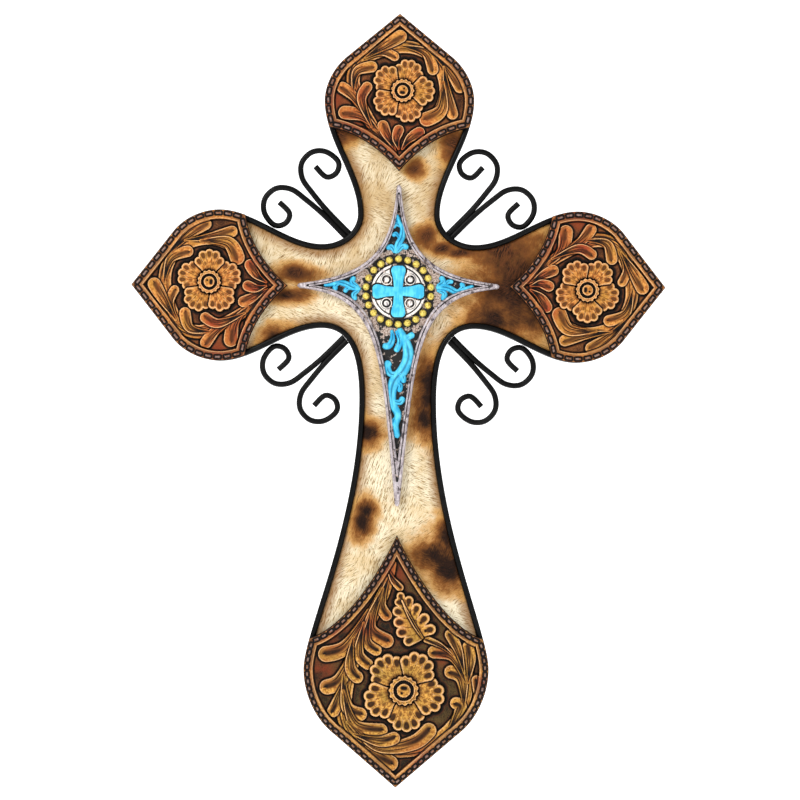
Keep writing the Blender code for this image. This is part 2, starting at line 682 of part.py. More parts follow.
def make_star(collection, cutters, material):
    """The cast star: a rim round a sunk floor, with scrollwork, a ring of beads and a disc on it."""
    back = PANEL_FRONT + GAP
    floor = back + STAR_FLOOR
    low = floor - CARVING_SINK
    bm = bmesh.new()
    outline = star_outline(STAR_UP, STAR_SIDE, STAR_DOWN, STAR_TIP_HALF, 0.0)
    hollow = star_outline(
        STAR_UP - STAR_SOLID_UP, STAR_SIDE - STAR_SOLID_SIDE, STAR_DOWN - STAR_SOLID_DOWN, 0.0, STAR_RIM
    )
    add_prism(bm, outline, back, back + STAR_THICK, inset(outline, STAR_EDGE_ROUND))
    star = place(finish_mesh(bm, "star"), collection, material)

    sunk = bmesh.new()
    add_prism(sunk, hollow, floor, back + STAR_THICK + GAP)
    join(star, finish_mesh(sunk, "star_floor"), "DIFFERENCE", cutters)

    work = bmesh.new()
    for number, (width, *points) in enumerate(STAR_STROKES):
        placed = [on_star(*p) for p in stroke_outline(points, width, True)]
        lift = floor + STAR_SCROLL_RISE + FRONT_STEP * number
        add_prism(work, placed, low - BACK_STEP * number, lift, tapered(placed, CARVING_TAPER))
    drop = -BEAD_RING_DROP
    for bead in range(BEAD_COUNT):
        turn = math.tau * bead / BEAD_COUNT
        x = BEAD_RING_RADIUS * math.sin(turn)
        z = BEAD_RING_RADIUS * math.cos(turn) + drop
        wide = ring_outline(x, z, BEAD_RADIUS, 5)
        narrow = ring_outline(x, z, BEAD_RADIUS * BEAD_TOP_SHARE, 5)
        add_prism(work, wide, low, floor + BEAD_RADIUS * BEAD_RISE_SHARE, narrow)
    add_prism(work, ring_outline(0.0, drop, DISC_RADIUS, 16), low, floor + DISC_RISE)
    add_prism(work, cross_pattee(0.0, drop), low - BACK_STEP, floor + CROSS_RISE)
    for x in (-1, 1):
        for z in (-1, 1):
            eye = ring_outline(x * EYE_OFFSET, drop + z * EYE_OFFSET, EYE_RADIUS, 6)
            add_prism(work, eye, low - 2 * BACK_STEP, floor + EYE_RISE)
    join(star, finish_mesh(work, "star_work"), "UNION", cutters)


def wire_mesh(path, name):
    """A round wire along a path, its caps welded, as a mesh that a Boolean can join."""
    curve = bpy.data.curves.new(name, "CURVE")
    curve.dimensions = "3D"
    curve.bevel_depth = WIRE_RADIUS
    curve.bevel_resolution = 1
    curve.use_fill_caps = True
    line = curve.splines.new("POLY")
    line.points.add(len(path) - 1)
    for point, (x, z) in zip(line.points, path):
        point.co = (x, -EDGING_DEPTH / 2, z, 1.0)
    carrier = bpy.data.objects.new(name, curve)
    bpy.context.scene.collection.objects.link(carrier)
    graph = bpy.context.evaluated_depsgraph_get()
    mesh = bpy.data.meshes.new_from_object(carrier.evaluated_get(graph))
    bpy.data.objects.remove(carrier)
    bm = bmesh.new()
    bm.from_mesh(mesh)
    bmesh.ops.remove_doubles(bm, verts=bm.verts[:], dist=POINT_WELD)
    bpy.data.meshes.remove(mesh)
    return finish_mesh(bm, name)


def make_scrolls(name, across, up, collection, cutters, material):
    """The two wires of one corner, welded side by side along their feet."""
    path = [(x * MILLIMETRE, z * MILLIMETRE) for x, z in spline(WIRE_PATH, WIRE_RING_COUNT, WIRE_BUNCH)]
    first = wire_mesh([(across * x, up * z) for x, z in path], name)
    twin = wire_mesh([(across * z, up * x) for x, z in path], name + "_twin")
    scrolls = place(first, collection, material)
    join(scrolls, twin, "UNION", cutters)


def nail_across():
    return HANGER_LENGTH / 2 - HANGER_FOOT / 2


def make_hanger(collection, cutters, material):
    """A bent steel strip with teeth along its lower edge, standing off the board at its middle."""
    low = HANG_HEIGHT - HANGER_HEIGHT / 2
    high = HANG_HEIGHT + HANGER_HEIGHT / 2
    foot = PANEL_BACK - GAP - HANGER_THICK
    half = HANGER_LENGTH / 2
    bm = bmesh.new()
    stations = [-half, -half + HANGER_FOOT, -HANGER_FLAT / 2]
    steps = 2 * HANGER_TEETH
    stations += [HANGER_FLAT * (step / steps - 0.5) for step in range(1, steps)]
    stations += [HANGER_FLAT / 2, half - HANGER_FOOT, half]
    rows = []
    for index, x in enumerate(stations):
        depth = foot if abs(x) > half - HANGER_FOOT - GAP else 0.0
        flat = 2 <= index <= steps + 2
        bottom = low + (HANGER_TOOTH if flat and index % 2 else 0.0)
        front = depth + HANGER_THICK
        corners = ((depth, bottom), (depth, high), (front, high), (front, bottom))
        rows.append([bm.verts.new((x, -y, z)) for y, z in corners])
    for row in (rows[0], rows[-1]):
        bm.faces.new(row)
    for row, following in zip(rows, rows[1:]):
        for side in range(4):
            other = (side + 1) % 4
            bm.faces.new((row[side], row[other], following[other], following[side]))
    hanger = place(finish_mesh(bm, "hanger"), collection, material)
    holes = bmesh.new()
    for side in (-1, 1):
        ring = ring_outline(side * nail_across(), HANG_HEIGHT, NAIL_RADIUS + GAP, 8)
        add_prism(holes, ring, -GAP, PANEL_BACK + GAP)
    join(hanger, finish_mesh(holes, "hanger_holes"), "DIFFERENCE", cutters)


def make_nail(name, side, collection, material):
    """One of the small nails that hold the hanger, with its shank in the board."""
    head_front = PANEL_BACK - GAP - HANGER_THICK - GAP
    head_back = head_front - NAIL_HEAD_THICK
    x = side * nail_across()
    bm = bmesh.new()
    wide = ring_outline(x, HANG_HEIGHT, NAIL_HEAD_RADIUS, 8)
    base, fronts = add_prism(bm, wide, head_back, head_front)
    under = next(face for face in bm.faces if all(vert in fronts for vert in face.verts))
    bmesh.ops.recalc_face_normals(bm, faces=bm.faces[:])
    bmesh.ops.inset_region(bm, faces=[under], thickness=NAIL_HEAD_RADIUS - NAIL_RADIUS, use_even_offset=True)
    made = bmesh.ops.extrude_face_region(bm, geom=[under])
    tip = [item for item in made["geom"] if isinstance(item, bmesh.types.BMVert)]
    bmesh.ops.delete(bm, geom=[under], context="FACES_ONLY")
    depth = PANEL_BACK + NAIL_LENGTH - 2 * GAP - head_front
    bmesh.ops.translate(bm, verts=tip, vec=(0.0, -depth, 0.0))
    place(finish_mesh(bm, name), collection, material)


def main():
    for obj in list(bpy.data.objects):
        bpy.data.objects.remove(obj)
    scene = bpy.context.scene.collection
    collection = bpy.data.collections.new("wall_cross")
    cutters = bpy.data.collections.new("cutters")
    cutters.hide_render = True
    scene.children.link(collection)
    scene.children.link(cutters)

    iron = colour("black_iron", (0.012, 0.012, 0.013), 0.45, 0.6)
    hide = colour("hide", (0.78, 0.68, 0.48), 0.85)
    leather = colour("tooled_leather", (0.45, 0.19, 0.06), 0.55)
    silver = colour("silver", (0.62, 0.58, 0.57), 0.4, 0.9)
    steel = colour("hanger_steel", (0.55, 0.53, 0.50), 0.35, 1.0)

    make_edging(collection, iron)
    make_panel(collection, cutters, hide)
    for name, arm in zip(("tip_top", "tip_right", "tip_foot", "tip_left"), ARMS):
        make_tip(name, arm, collection, cutters, leather)
    make_star(collection, cutters, silver)
    for vertical, up in (("top", 1), ("bottom", -1)):
        for side, across in (("left", -1), ("right", 1)):
            make_scrolls(f"scrolls_{vertical}_{side}", across, up, collection, cutters, iron)
    make_hanger(collection, cutters, steel)
    make_nail("hanger_nail_left", -1, collection, steel)
    make_nail("hanger_nail_right", 1, collection, steel)


main()
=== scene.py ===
# %% [markdown]
# # A wall cross of hide, iron, tooled leather and silver
# The real cross hangs flat on a wall. A black iron strip on edge outlines it, and a board covered with
# spotted hide fills it. Tooled leather covers the ends of its arms, iron wires curl out of its corners,
# and a cast silver star with enamel lies over its middle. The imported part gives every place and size
# here, and this lesson gives each piece its fine shape and its finish.

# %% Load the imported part
import math

import bmesh
import bpy
import numpy as np
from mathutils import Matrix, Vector


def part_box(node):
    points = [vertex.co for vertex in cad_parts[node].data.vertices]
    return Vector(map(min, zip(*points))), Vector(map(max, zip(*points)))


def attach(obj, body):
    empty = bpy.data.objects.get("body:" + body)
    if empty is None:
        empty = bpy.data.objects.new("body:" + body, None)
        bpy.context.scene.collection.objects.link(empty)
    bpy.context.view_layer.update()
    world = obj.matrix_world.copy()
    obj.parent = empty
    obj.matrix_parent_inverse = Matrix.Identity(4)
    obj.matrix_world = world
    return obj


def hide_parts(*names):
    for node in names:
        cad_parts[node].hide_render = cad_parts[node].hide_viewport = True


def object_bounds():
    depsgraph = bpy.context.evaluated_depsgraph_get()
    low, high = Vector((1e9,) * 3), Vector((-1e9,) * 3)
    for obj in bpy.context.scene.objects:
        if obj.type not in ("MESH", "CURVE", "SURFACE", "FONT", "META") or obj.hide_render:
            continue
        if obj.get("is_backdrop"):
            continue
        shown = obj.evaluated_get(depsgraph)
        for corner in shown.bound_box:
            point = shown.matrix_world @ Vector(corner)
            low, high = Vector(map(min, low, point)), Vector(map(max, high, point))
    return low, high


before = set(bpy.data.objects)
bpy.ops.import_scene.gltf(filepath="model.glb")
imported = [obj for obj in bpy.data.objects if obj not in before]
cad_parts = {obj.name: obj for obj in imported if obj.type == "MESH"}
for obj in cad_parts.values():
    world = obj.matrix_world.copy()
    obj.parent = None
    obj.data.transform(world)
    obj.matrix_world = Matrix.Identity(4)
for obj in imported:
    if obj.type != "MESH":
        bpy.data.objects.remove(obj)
cad_low, cad_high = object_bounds()
print("packed part:", [round(1000 * side, 1) for side in cad_high - cad_low], "mm")

# %% [markdown]
# The drawing of the cross is done in millimetres from its middle, the point where its arms meet, so
# that the numbers read like a maker's own. One function turns a drawn point and its depth from the
# wall into a place in the frame. The middle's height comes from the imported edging, whose top is the
# reach of the top arm.

# %% The plane of the cross
MM = 0.001
TOP_REACH = 175.8
MIDDLE_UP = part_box("edging")[1].z - TOP_REACH * MM
EDGING_FRONT = -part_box("edging")[0].y / MM
HIDE_FRONT = -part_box("hide_panel")[0].y / MM
GAP = 0.3
UP, RIGHT, DOWN, LEFT = range(4)


def in_frame(across, depth, up):
    """Arrays of places in metres from drawn millimetres."""
    return np.stack([across * MM, -depth * MM, up * MM + MIDDLE_UP], axis=-1)


print("middle of the cross at", round(MIDDLE_UP, 4), "edging", round(EDGING_FRONT, 2), "deep")

# %% [markdown]
# Every outline here is made of smooth curves between a few known places: the neck of an arm, its
# widest place, its shoulder and its apex. A cubic curve with two pulls does that, and a path through
# points does the rest. Both are sampled densely, and a path can be read at even steps.


# %% Curves
SPAN_STEPS = 16


def cubic(start, pull, push, end, count):
    """Points along a cubic curve, both ends included."""
    t = np.linspace(0.0, 1.0, count + 1)[:, None]
    u = 1 - t
    corners = [np.array(p, float) for p in (start, pull, push, end)]
    weights = (u**3, 3 * u * u * t, 3 * u * t * t, t**3)
    return sum(w * p for w, p in zip(weights, corners))


def even(path, count):
    """The path at `count` even steps along its length."""
    steps = np.linalg.norm(np.diff(path, axis=0), axis=1)
    run = np.concatenate([[0.0], np.cumsum(steps)])
    wanted = np.linspace(0.0, run[-1], count + 1)
    return np.stack([np.interp(wanted, run, path[:, axis]) for axis in (0, 1)], axis=-1)


def through(points, count):
    """A smooth path through given points, at `count` even steps."""
    knots = np.array([points[0], *points, points[-1]], float)
    pieces = []
    for a, b, c, d in zip(knots, knots[1:], knots[2:], knots[3:]):
        t = np.linspace(0.0, 1.0, SPAN_STEPS, endpoint=False)[:, None]
        pieces.append(0.5 * (2 * b + (c - a) * t + (2 * a - 5 * b + 4 * c - d) * t * t
                             + (3 * b - a - 3 * c + d) * t**3))
    return even(np.concatenate([*pieces, knots[-1:]]), count)


def length_of(path):
    """The path's own length."""
    return float(np.linalg.norm(np.diff(path, axis=0), axis=1).sum())


def turned(path, quarter_turns):
    """Points of an arm drawn pointing up, on the arm that they belong to."""
    a, d = path[..., 0], path[..., 1]
    return np.stack(((a, d), (d, -a), (-a, -d), (-d, a))[quarter_turns], axis=-1)


bend = through(((0, 0), (1, 1), (2, 0)), 8)
print("a smooth bend over three points is", round(length_of(bend), 2), "mm long")

# %% [markdown]
# An arm is drawn pointing up. Its side swells from the neck to the widest place, rounds over the
# shoulder and runs straight to the apex. The leather begins at a corner on that side, and its inner
# edge sweeps from the corner to a point on the arm's middle line.

# %% The four arms
SHOULDER_ACROSS = 0.71
SHOULDER_PULL = 0.6


class Arm:
    def __init__(self, turn, reach, wide, wide_at, neck, neck_at, corner_at, point_at, out, pulls,
                 inner_pulls, crotch_pull, drawing):
        self.turn = turn
        self.reach = reach
        self.wide = wide
        self.wide_at = wide_at
        self.neck = (neck, neck_at)
        self.point_at = point_at
        self.crotch_pull = crotch_pull
        self.drawing = drawing
        span = wide_at - neck_at
        shoulder = (SHOULDER_ACROSS * wide, wide_at + out * (reach - wide_at))
        meeting = reach - (reach - shoulder[1]) / shoulder[0] * wide
        push = tuple(s + SHOULDER_PULL * (m - s) for s, m in zip(shoulder, (wide, meeting)))
        swell = cubic((neck, neck_at), (neck, neck_at + pulls[0] * span),
                      (wide, wide_at - pulls[1] * span), (wide, wide_at), 60)
        over = cubic((wide, wide_at), (wide, wide_at + SHOULDER_PULL * (meeting - wide_at)), push,
                     shoulder, 40)
        self.side = np.concatenate([swell[:-1], over[:-1], cubic(shoulder, shoulder, (0, reach),
                                                                 (0, reach), 30)])
        self.leather_side = self.side[self.side[:, 1] >= corner_at]
        corner = self.leather_side[0]
        fall = corner[1] - point_at
        near, far = inner_pulls
        self.inner_side = cubic(corner, (corner[0] * near[0], corner[1] - fall * near[1]),
                                (corner[0] * far[0], point_at + fall * far[1]), (0, point_at), 60)

    def on_tip(self, points):
        """Drawn points of a carving placed on this tip, whose three lengths stretch the drawing."""
        half, ahead, behind = self.drawing
        points = np.array(points, float)
        ahead_share = (self.reach - self.wide_at) / ahead
        behind_share = (self.wide_at - self.point_at) / behind
        stretch = np.where(points[:, 1] > 0, ahead_share, behind_share)
        return np.stack([points[:, 0] * self.wide / half, self.wide_at + points[:, 1] * stretch], axis=-1)


SMALL_INNER = ((0.60, 0.10), (0.26, 0.50))
FOOT_INNER = ((0.61, 0.09), (0.21, 0.38))
SMALL_DRAWING = (48.3, 56.4, 45.2)
FOOT_DRAWING = (59.8, 76.3, 86.4)
ARMS = {
    "tip_top": Arm(UP, TOP_REACH, 48.3, 119.5, 26.5, 46.5, 102.0, 74.4, 0.50, (0.34, 0.34),
                   SMALL_INNER, 0.55, SMALL_DRAWING),
    "tip_right": Arm(RIGHT, 172.4, 48.8, 115.5, 27.1, 49.6, 98.5, 71.7, 0.525, (0.34, 0.34),
                     SMALL_INNER, 0.55, SMALL_DRAWING),
    "tip_foot": Arm(DOWN, 323.8, 59.8, 247.5, 24.9, 73.7, 226.2, 161.1, 0.52, (0.454, 0.141),
                    FOOT_INNER, 0.80, FOOT_DRAWING),
    "tip_left": Arm(LEFT, 172.4, 48.8, 115.5, 27.1, 49.6, 98.5, 71.7, 0.525, (0.34, 0.34),
                    SMALL_INNER, 0.55, SMALL_DRAWING),
}


def mirrored(path):
    return path * np.array([-1.0, 1.0])


def cross_outline(step):
    """The whole outline, clockwise from the left neck of the top arm, with a point every `step`."""
    stretches = []
    arms = list(ARMS.values())
    for arm, after in zip(arms, arms[1:] + arms[:1]):
        sides = (turned(mirrored(arm.side), arm.turn), turned(arm.side[::-1], arm.turn))
        start = turned(np.array(arm.neck), arm.turn)
        end = turned(np.array((-after.neck[0], after.neck[1])), after.turn)
        pull, push = start.copy(), end.copy()
        first = 1 if arm.turn in (UP, DOWN) else 0
        pull[first] += arm.crotch_pull * (end[first] - start[first])
        push[1 - first] += after.crotch_pull * (start[1 - first] - end[1 - first])
        stretches += [*sides, cubic(start, pull, push, end, 60)]
    evened = [even(stretch, max(2, round(length_of(stretch) / step)))[:-1] for stretch in stretches]
    return np.concatenate(evened)


def inset(outline, distance):
    """A closed clockwise outline moved inwards by an even distance."""
    first = outline - np.roll(outline, 1, axis=0)
    second = np.roll(outline, -1, axis=0) - outline
    first /= np.linalg.norm(first, axis=1, keepdims=True)
    second /= np.linalg.norm(second, axis=1, keepdims=True)
    inward = np.stack([first[:, 1] + second[:, 1], -first[:, 0] - second[:, 0]], axis=-1)
    inward /= np.linalg.norm(inward, axis=1, keepdims=True)
    stretch = np.maximum(0.3, (inward * np.stack([first[:, 1], -first[:, 0]], axis=-1)).sum(axis=1))
    return outline + inward * (distance / stretch)[:, None]


print("outline of", len(cross_outline(2.0)), "points, widest arms", 2 * ARMS["tip_top"].wide, "mm")

# %% [markdown]
# A finish is a Principled shader fed by a few nodes. Writing the nodes as sums keeps the recipe
# readable, so one small class wraps a node's output and turns +, -, * and / into Math nodes. Colours
# are blended with Mix nodes, and any other node comes from one method.


# %% A small workshop for finishes
class Out:
    """A node's output that Python can do sums with."""

    def __init__(self, finish, socket):
        self.finish = finish
        self.socket = socket

    def __add__(self, other):
        return self.finish.math("ADD", self, other)

    def __sub__(self, other):
        return self.finish.math("SUBTRACT", self, other)

    def __mul__(self, other):
        return self.finish.math("MULTIPLY", self, other)

    def __truediv__(self, other):
        return self.finish.math("DIVIDE", self, other)

    def __rsub__(self, other):
        return self.finish.math("SUBTRACT", other, self)

    __radd__ = __add__
    __rmul__ = __mul__


class Finish:
    def __init__(self, name):
        self.material = bpy.data.materials.new(name)
        self.material.use_nodes = True
        self.nodes = self.material.node_tree.nodes
        self.links = self.material.node_tree.links
        self.shader = self.nodes["Principled BSDF"]
        self.place = self.node("ShaderNodeTexCoord", out="Object")

    def feed(self, socket, value):
        if isinstance(value, Out):
            self.links.new(value.socket, socket)
        else:
            socket.default_value = value

    def node(self, kind, inputs=None, out=0, **settings):
        """Any node: its settings first, then the values or links of its sockets."""
        made = self.nodes.new(kind)
        for key, value in settings.items():
            setattr(made, key, value)
        for key, value in (inputs or {}).items():
            self.feed(made.inputs[key], value)
        return Out(self, made.outputs[out])

    def math(self, operation, *values):
        return self.node("ShaderNodeMath", dict(enumerate(values)), operation=operation)

    def mix(self, share, first, second):
        """Blends two colours."""
        return self.node("ShaderNodeMix", {0: share, 6: first, 7: second}, out=2, data_type="RGBA")

    def ease(self, value, low, high):
        """0 below `low`, 1 above `high` and smooth between."""
        return self.node("ShaderNodeMapRange", {"Value": value, "From Min": low, "From Max": high},
                         interpolation_type="SMOOTHSTEP")

    def stretched(self, size, turn=0.0):
        """Object coordinates in units of `size` metres along each axis, turned about the depth."""
        scale = tuple(1.0 / side for side in size)
        facing = self.node("ShaderNodeMapping", {"Vector": self.place, "Rotation": (0.0, turn, 0.0)})
        return self.node("ShaderNodeMapping", {"Vector": facing, "Scale": scale})

    def noise(self, where, detail=3.0, rough=0.5, twist=0.0):
        inputs = {"Vector": where, "Scale": 1.0, "Detail": detail, "Roughness": rough, "Distortion": twist}
        return self.node("ShaderNodeTexNoise", inputs)

    def even_noise(self, size, detail=3.0, rough=0.5):
        """Noise that is `size` metres across each way."""
        return self.noise(self.stretched((size,) * 3), detail, rough)

    def along(self, axis):
        """One of the Object coordinates."""
        return self.node("ShaderNodeSeparateXYZ", {0: self.place}, out=axis)

    def mask(self, name):
        return self.node("ShaderNodeAttribute", attribute_name=name, out="Fac")

    def bump(self, height, depth, strength=1.0, under=None):
        inputs = {"Height": height, "Distance": depth, "Strength": strength}
        if under:
            inputs["Normal"] = under
        return self.node("ShaderNodeBump", inputs)

    def set(self, **sockets):
        for key, value in sockets.items():
            self.feed(self.shader.inputs[key.replace("_", " ")], value)
        return self.material


def shade(code):
    """A colour written as six hexadecimal digits, as the shader wants it."""
    parts = [int(code[i:i + 2], 16) / 255 for i in (0, 2, 4)]
    return (*(p / 12.92 if p <= 0.04045 else ((p + 0.055) / 1.055) ** 2.4 for p in parts), 1.0)


print("finishes are blended from colours such as", [round(c, 2) for c in shade("C8813C")])

# %% [markdown]
# The camera faces the cross squarely, as the photo does, from far enough that depth hardly shows. The
# photo covers 0.646 mm a pixel and the cross is turned in it by a hair, so the camera is too. A broad
# key light from the upper left, a weaker one from the right and a pale world give soft studio light,
# and a pale floor sweeps up behind, a long way off. A third light stands behind, for the back. Two
# helpers come first: one puts an object in the scene, and one turns a bmesh into a mesh.


# %% Camera, lights, floor
def added(name, data):
    """A new object that holds the data, in the scene."""
    made = bpy.data.objects.new(name, data)
    bpy.context.scene.collection.objects.link(made)
    return made


def mesh_of(bm, name):
    """The bmesh as a mesh, with the bmesh freed."""
    mesh = bpy.data.meshes.new(name)
    bm.to_mesh(mesh)
    bm.free()
    return mesh


PIXEL = 0.6464 * MM
IMAGE = 800
MIDDLE_PIXEL = (397.7, 286.2)
LENS = 100.0
ROLL = math.radians(-0.35)
AIM_UNDER_MIDDLE = 0.07

camera = added("camera", bpy.data.cameras.new("camera"))
camera.data.lens = LENS
distance = PIXEL * IMAGE * LENS / camera.data.sensor_width
camera.location = (
    (IMAGE / 2 - MIDDLE_PIXEL[0]) * PIXEL,
    -EDGING_FRONT * MM - distance,
    MIDDLE_UP - (IMAGE / 2 - MIDDLE_PIXEL[1]) * PIXEL,
)
camera.rotation_euler = (math.pi / 2, ROLL, 0.0)
bpy.context.scene.camera = camera
bpy.context.scene.view_settings.view_transform = "Standard"


def soft_light(name, place, size, power):
    light = added(name, bpy.data.lights.new(name, "AREA"))
    light.data.size = size
    light.data.energy = power
    light.location = place
    aim = Vector((0.0, 0.0, MIDDLE_UP - AIM_UNDER_MIDDLE)) - Vector(place)
    light.rotation_euler = aim.to_track_quat("-Z", "Y").to_euler()


soft_light("key", (-0.9, -1.1, 0.75), 0.5, 17.0)
soft_light("fill", (1.2, -1.5, 0.1), 1.2, 5.0)
soft_light("back", (0.4, 1.2, 0.6), 1.0, 6.0)
world = bpy.data.worlds.new("studio")
world.use_nodes = True
world.node_tree.nodes["Background"].inputs["Color"].default_value = (1.0, 1.0, 1.0, 1.0)
world.node_tree.nodes["Background"].inputs["Strength"].default_value = 0.55
bpy.context.scene.world = world

FLOOR_UNDER = 0.05
FLOOR_WIDE = 6.0
FLOOR_LINE = ((-2.4, 0.0), (1.6, 0.0), (2.2, 0.2), (2.5, 0.7), (2.6, 2.6))
bm = bmesh.new()
edge = [bm.verts.new((-FLOOR_WIDE / 2, y, cad_low.z - FLOOR_UNDER + z)) for y, z in FLOOR_LINE]
strip = [bm.edges.new(pair) for pair in zip(edge, edge[1:])]
swept = bmesh.ops.extrude_edge_only(bm, edges=strip)["geom"]
far_edge = [item for item in swept if isinstance(item, bmesh.types.BMVert)]
bmesh.ops.translate(bm, verts=far_edge, vec=(FLOOR_WIDE, 0.0, 0.0))
bmesh.ops.recalc_face_normals(bm, faces=bm.faces[:])
floor = added("floor", mesh_of(bm, "floor"))
paper = Finish("studio_paper").set(Base_Color=(0.9, 0.9, 0.9, 1.0), Roughness=0.9,
                                   Emission_Color=(1.0, 1.0, 1.0, 1.0), Emission_Strength=0.7)
floor.data.materials.append(paper)
floor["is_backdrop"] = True
print("camera", [round(c, 3) for c in camera.location])

# %% [markdown]
# The edging, the star's rim and the hide's rolled edge are all rings: one outline after another at
# its own depth. An edge loop is extruded ring by ring, and each new ring is set on the next outline.
# That keeps the rings matched point for point, where a bridge between loops may twist.


# %% Rings, and putting a mesh in the scene
def vertex_ring(bm, outline, depth):
    places = in_frame(outline[:, 0], np.full(len(outline), float(depth)), outline[:, 1])
    verts = [bm.verts.new(place) for place in places]
    edges = [bm.edges.new(pair) for pair in zip(verts, verts[1:] + verts[:1])]
    return verts, edges


def next_ring(bm, ring, outline, depth, material=0):
    """Extrudes an edge loop and sets the new loop on the outline, point for point."""
    verts, edges = ring
    made = bmesh.ops.extrude_edge_only(bm, edges=edges)["geom"]
    fresh = {item for item in made if isinstance(item, bmesh.types.BMVert)}
    for item in made:
        if isinstance(item, bmesh.types.BMFace):
            item.material_index = material
    places = in_frame(outline[:, 0], np.full(len(outline), float(depth)), outline[:, 1])
    loop = []
    for vert, place in zip(verts, places):
        partner = next(e.other_vert(vert) for e in vert.link_edges if e.other_vert(vert) in fresh)
        partner.co = place
        loop.append(partner)
    lookup = set(loop)
    return loop, [e for e in made if isinstance(e, bmesh.types.BMEdge) and lookup.issuperset(e.verts)]


def ringed(bm, rings):
    """A skin over rings of (outline, depth), or (outline, depth, material of the strip up to it)."""
    first = ring = vertex_ring(bm, *rings[0])
    for row in rings[1:]:
        ring = next_ring(bm, ring, *row)
    return first, ring


def closed_up(bm):
    """Welds doubled points and turns every face outwards."""
    bmesh.ops.remove_doubles(bm, verts=bm.verts[:], dist=0.00001)
    bmesh.ops.recalc_face_normals(bm, faces=bm.faces[:])


def mesh_piece(mesh, name, node_name, materials, smooth=40.0):
    """Makes the mesh a piece that rides on the root and stands for the named CAD node."""
    mesh.name = name
    mesh.shade_smooth()
    mesh.set_sharp_from_angle(angle=math.radians(smooth))
    piece = added(name, mesh)
    for material in materials:
        mesh.materials.append(material)
    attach(piece, "root")
    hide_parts(node_name)
    print(name, len(mesh.vertices), "points")


print("a ring of the whole outline has", len(cross_outline(2.0)), "points")


# %% [markdown]
# Black iron: satin paint over forged metal. Fine noise roughens it, larger noise makes it slightly
# uneven in gloss, and a little grey dust lightens it here and there.

# %% Black iron
iron = Finish("black_iron")
grain = iron.even_noise(0.0012, detail=4.0)
patch = iron.even_noise(0.012, detail=2.0)
iron_shade = iron.mix(iron.ease(patch * 0.6 + grain * 0.4, 0.45, 0.72), shade("040404"), shade("141414"))
iron_dent = iron.even_noise(0.005, detail=1.0)
iron_bump = iron.bump(grain, 0.00012, 0.5, iron.bump(iron_dent, 0.0006, 0.35))
black_iron = iron.set(Base_Color=iron_shade, Roughness=0.3 + grain * 0.25, Specular_IOR_Level=0.12,
                      Normal=iron_bump)
print("iron finish with", len(iron.nodes), "nodes")

# %% [markdown]
# The edging is a strip on edge, about 3.4 mm wide, whose front is rounded over and so catches a pale
# line of light along its middle.

# %% Edging
EDGING_WIDTH = 3.4
EDGING_ROUND = 1.2
ROUND_STEPS = 6
outline = cross_outline(2.0)
sections = [(0.0, 0.0)]
for turn in range(ROUND_STEPS + 1):
    angle = math.pi * turn / ROUND_STEPS
    sections.append((EDGING_WIDTH / 2 * (1 - math.cos(angle)),
                     EDGING_FRONT - EDGING_ROUND * (1 - math.sin(angle))))
sections.append((EDGING_WIDTH, 0.0))
bm = bmesh.new()
_, last = ringed(bm, [(inset(outline, across), depth) for across, depth in sections])
next_ring(bm, last, outline, 0.0)
closed_up(bm)
mesh_piece(mesh_of(bm, "edging"), "iron_edging", "edging", [black_iron])

# %% [markdown]
# Each corner holds two wires, welded side by side along their feet, which part and curl over to their
# own sides. A wire is a curve with a round bevel. Its path is drawn once, its twin is mirrored about
# the corner's diagonal, and a Boolean union makes the pair one closed body, as the weld does. A second
# Boolean copes their feet to the strip, so that they stand close against it, and the slivers that the
# cuts leave are dissolved.

# %% Scrolled wires
WIRE_RADIUS = 1.85
WIRE_STEPS = 70
COPE_GAP = 0.08
COPE_PAST = 2.0
SLIVER = 0.001
WIRE_PATH = (
    (29.6, 31.9), (46.0, 48.4), (56.3, 60.6), (62.8, 70.0), (63.2, 79.8), (56.6, 86.9), (47.4, 87.2),
    (39.5, 80.8), (40.6, 73.6), (47.2, 70.9), (54.3, 77.6),
)


def wire_object(path, name):
    curve = bpy.data.curves.new(name, "CURVE")
    curve.dimensions = "3D"
    curve.bevel_depth = WIRE_RADIUS * MM
    curve.bevel_resolution = 4
    curve.use_fill_caps = True
    line = curve.splines.new("POLY")
    line.points.add(len(path) - 1)
    depth = np.full(len(path), EDGING_FRONT / 2)
    for point, place in zip(line.points, in_frame(path[:, 0], depth, path[:, 1])):
        point.co = (*place, 1.0)
    carrier = added(name, curve)
    graph = bpy.context.evaluated_depsgraph_get()
    mesh = bpy.data.meshes.new_from_object(carrier.evaluated_get(graph))
    bpy.data.objects.remove(carrier)
    bm = bmesh.new()
    bm.from_mesh(mesh)
    closed_up(bm)
    return added(name, mesh_of(bm, name))


def outline_block():
    """The whole cross as a plain block a hair larger, to cope the wires with."""
    bm = bmesh.new()
    grown = inset(outline, -COPE_GAP)
    first, last = ringed(bm, [(grown, -COPE_PAST), (grown, EDGING_FRONT + COPE_PAST)])
    bm.faces.new(first[0])
    bm.faces.new(last[0])
    bmesh.ops.recalc_face_normals(bm, faces=bm.faces[:])
    return added("block", mesh_of(bm, "block"))


def combined(base, other, operation):
    """The base object's mesh after a Boolean with the other, with the base object taken away."""
    step = base.modifiers.new(operation.lower(), "BOOLEAN")
    step.operation = operation
    step.object = other
    graph = bpy.context.evaluated_depsgraph_get()
    mesh = bpy.data.meshes.new_from_object(base.evaluated_get(graph))
    bpy.data.objects.remove(base)
    return mesh


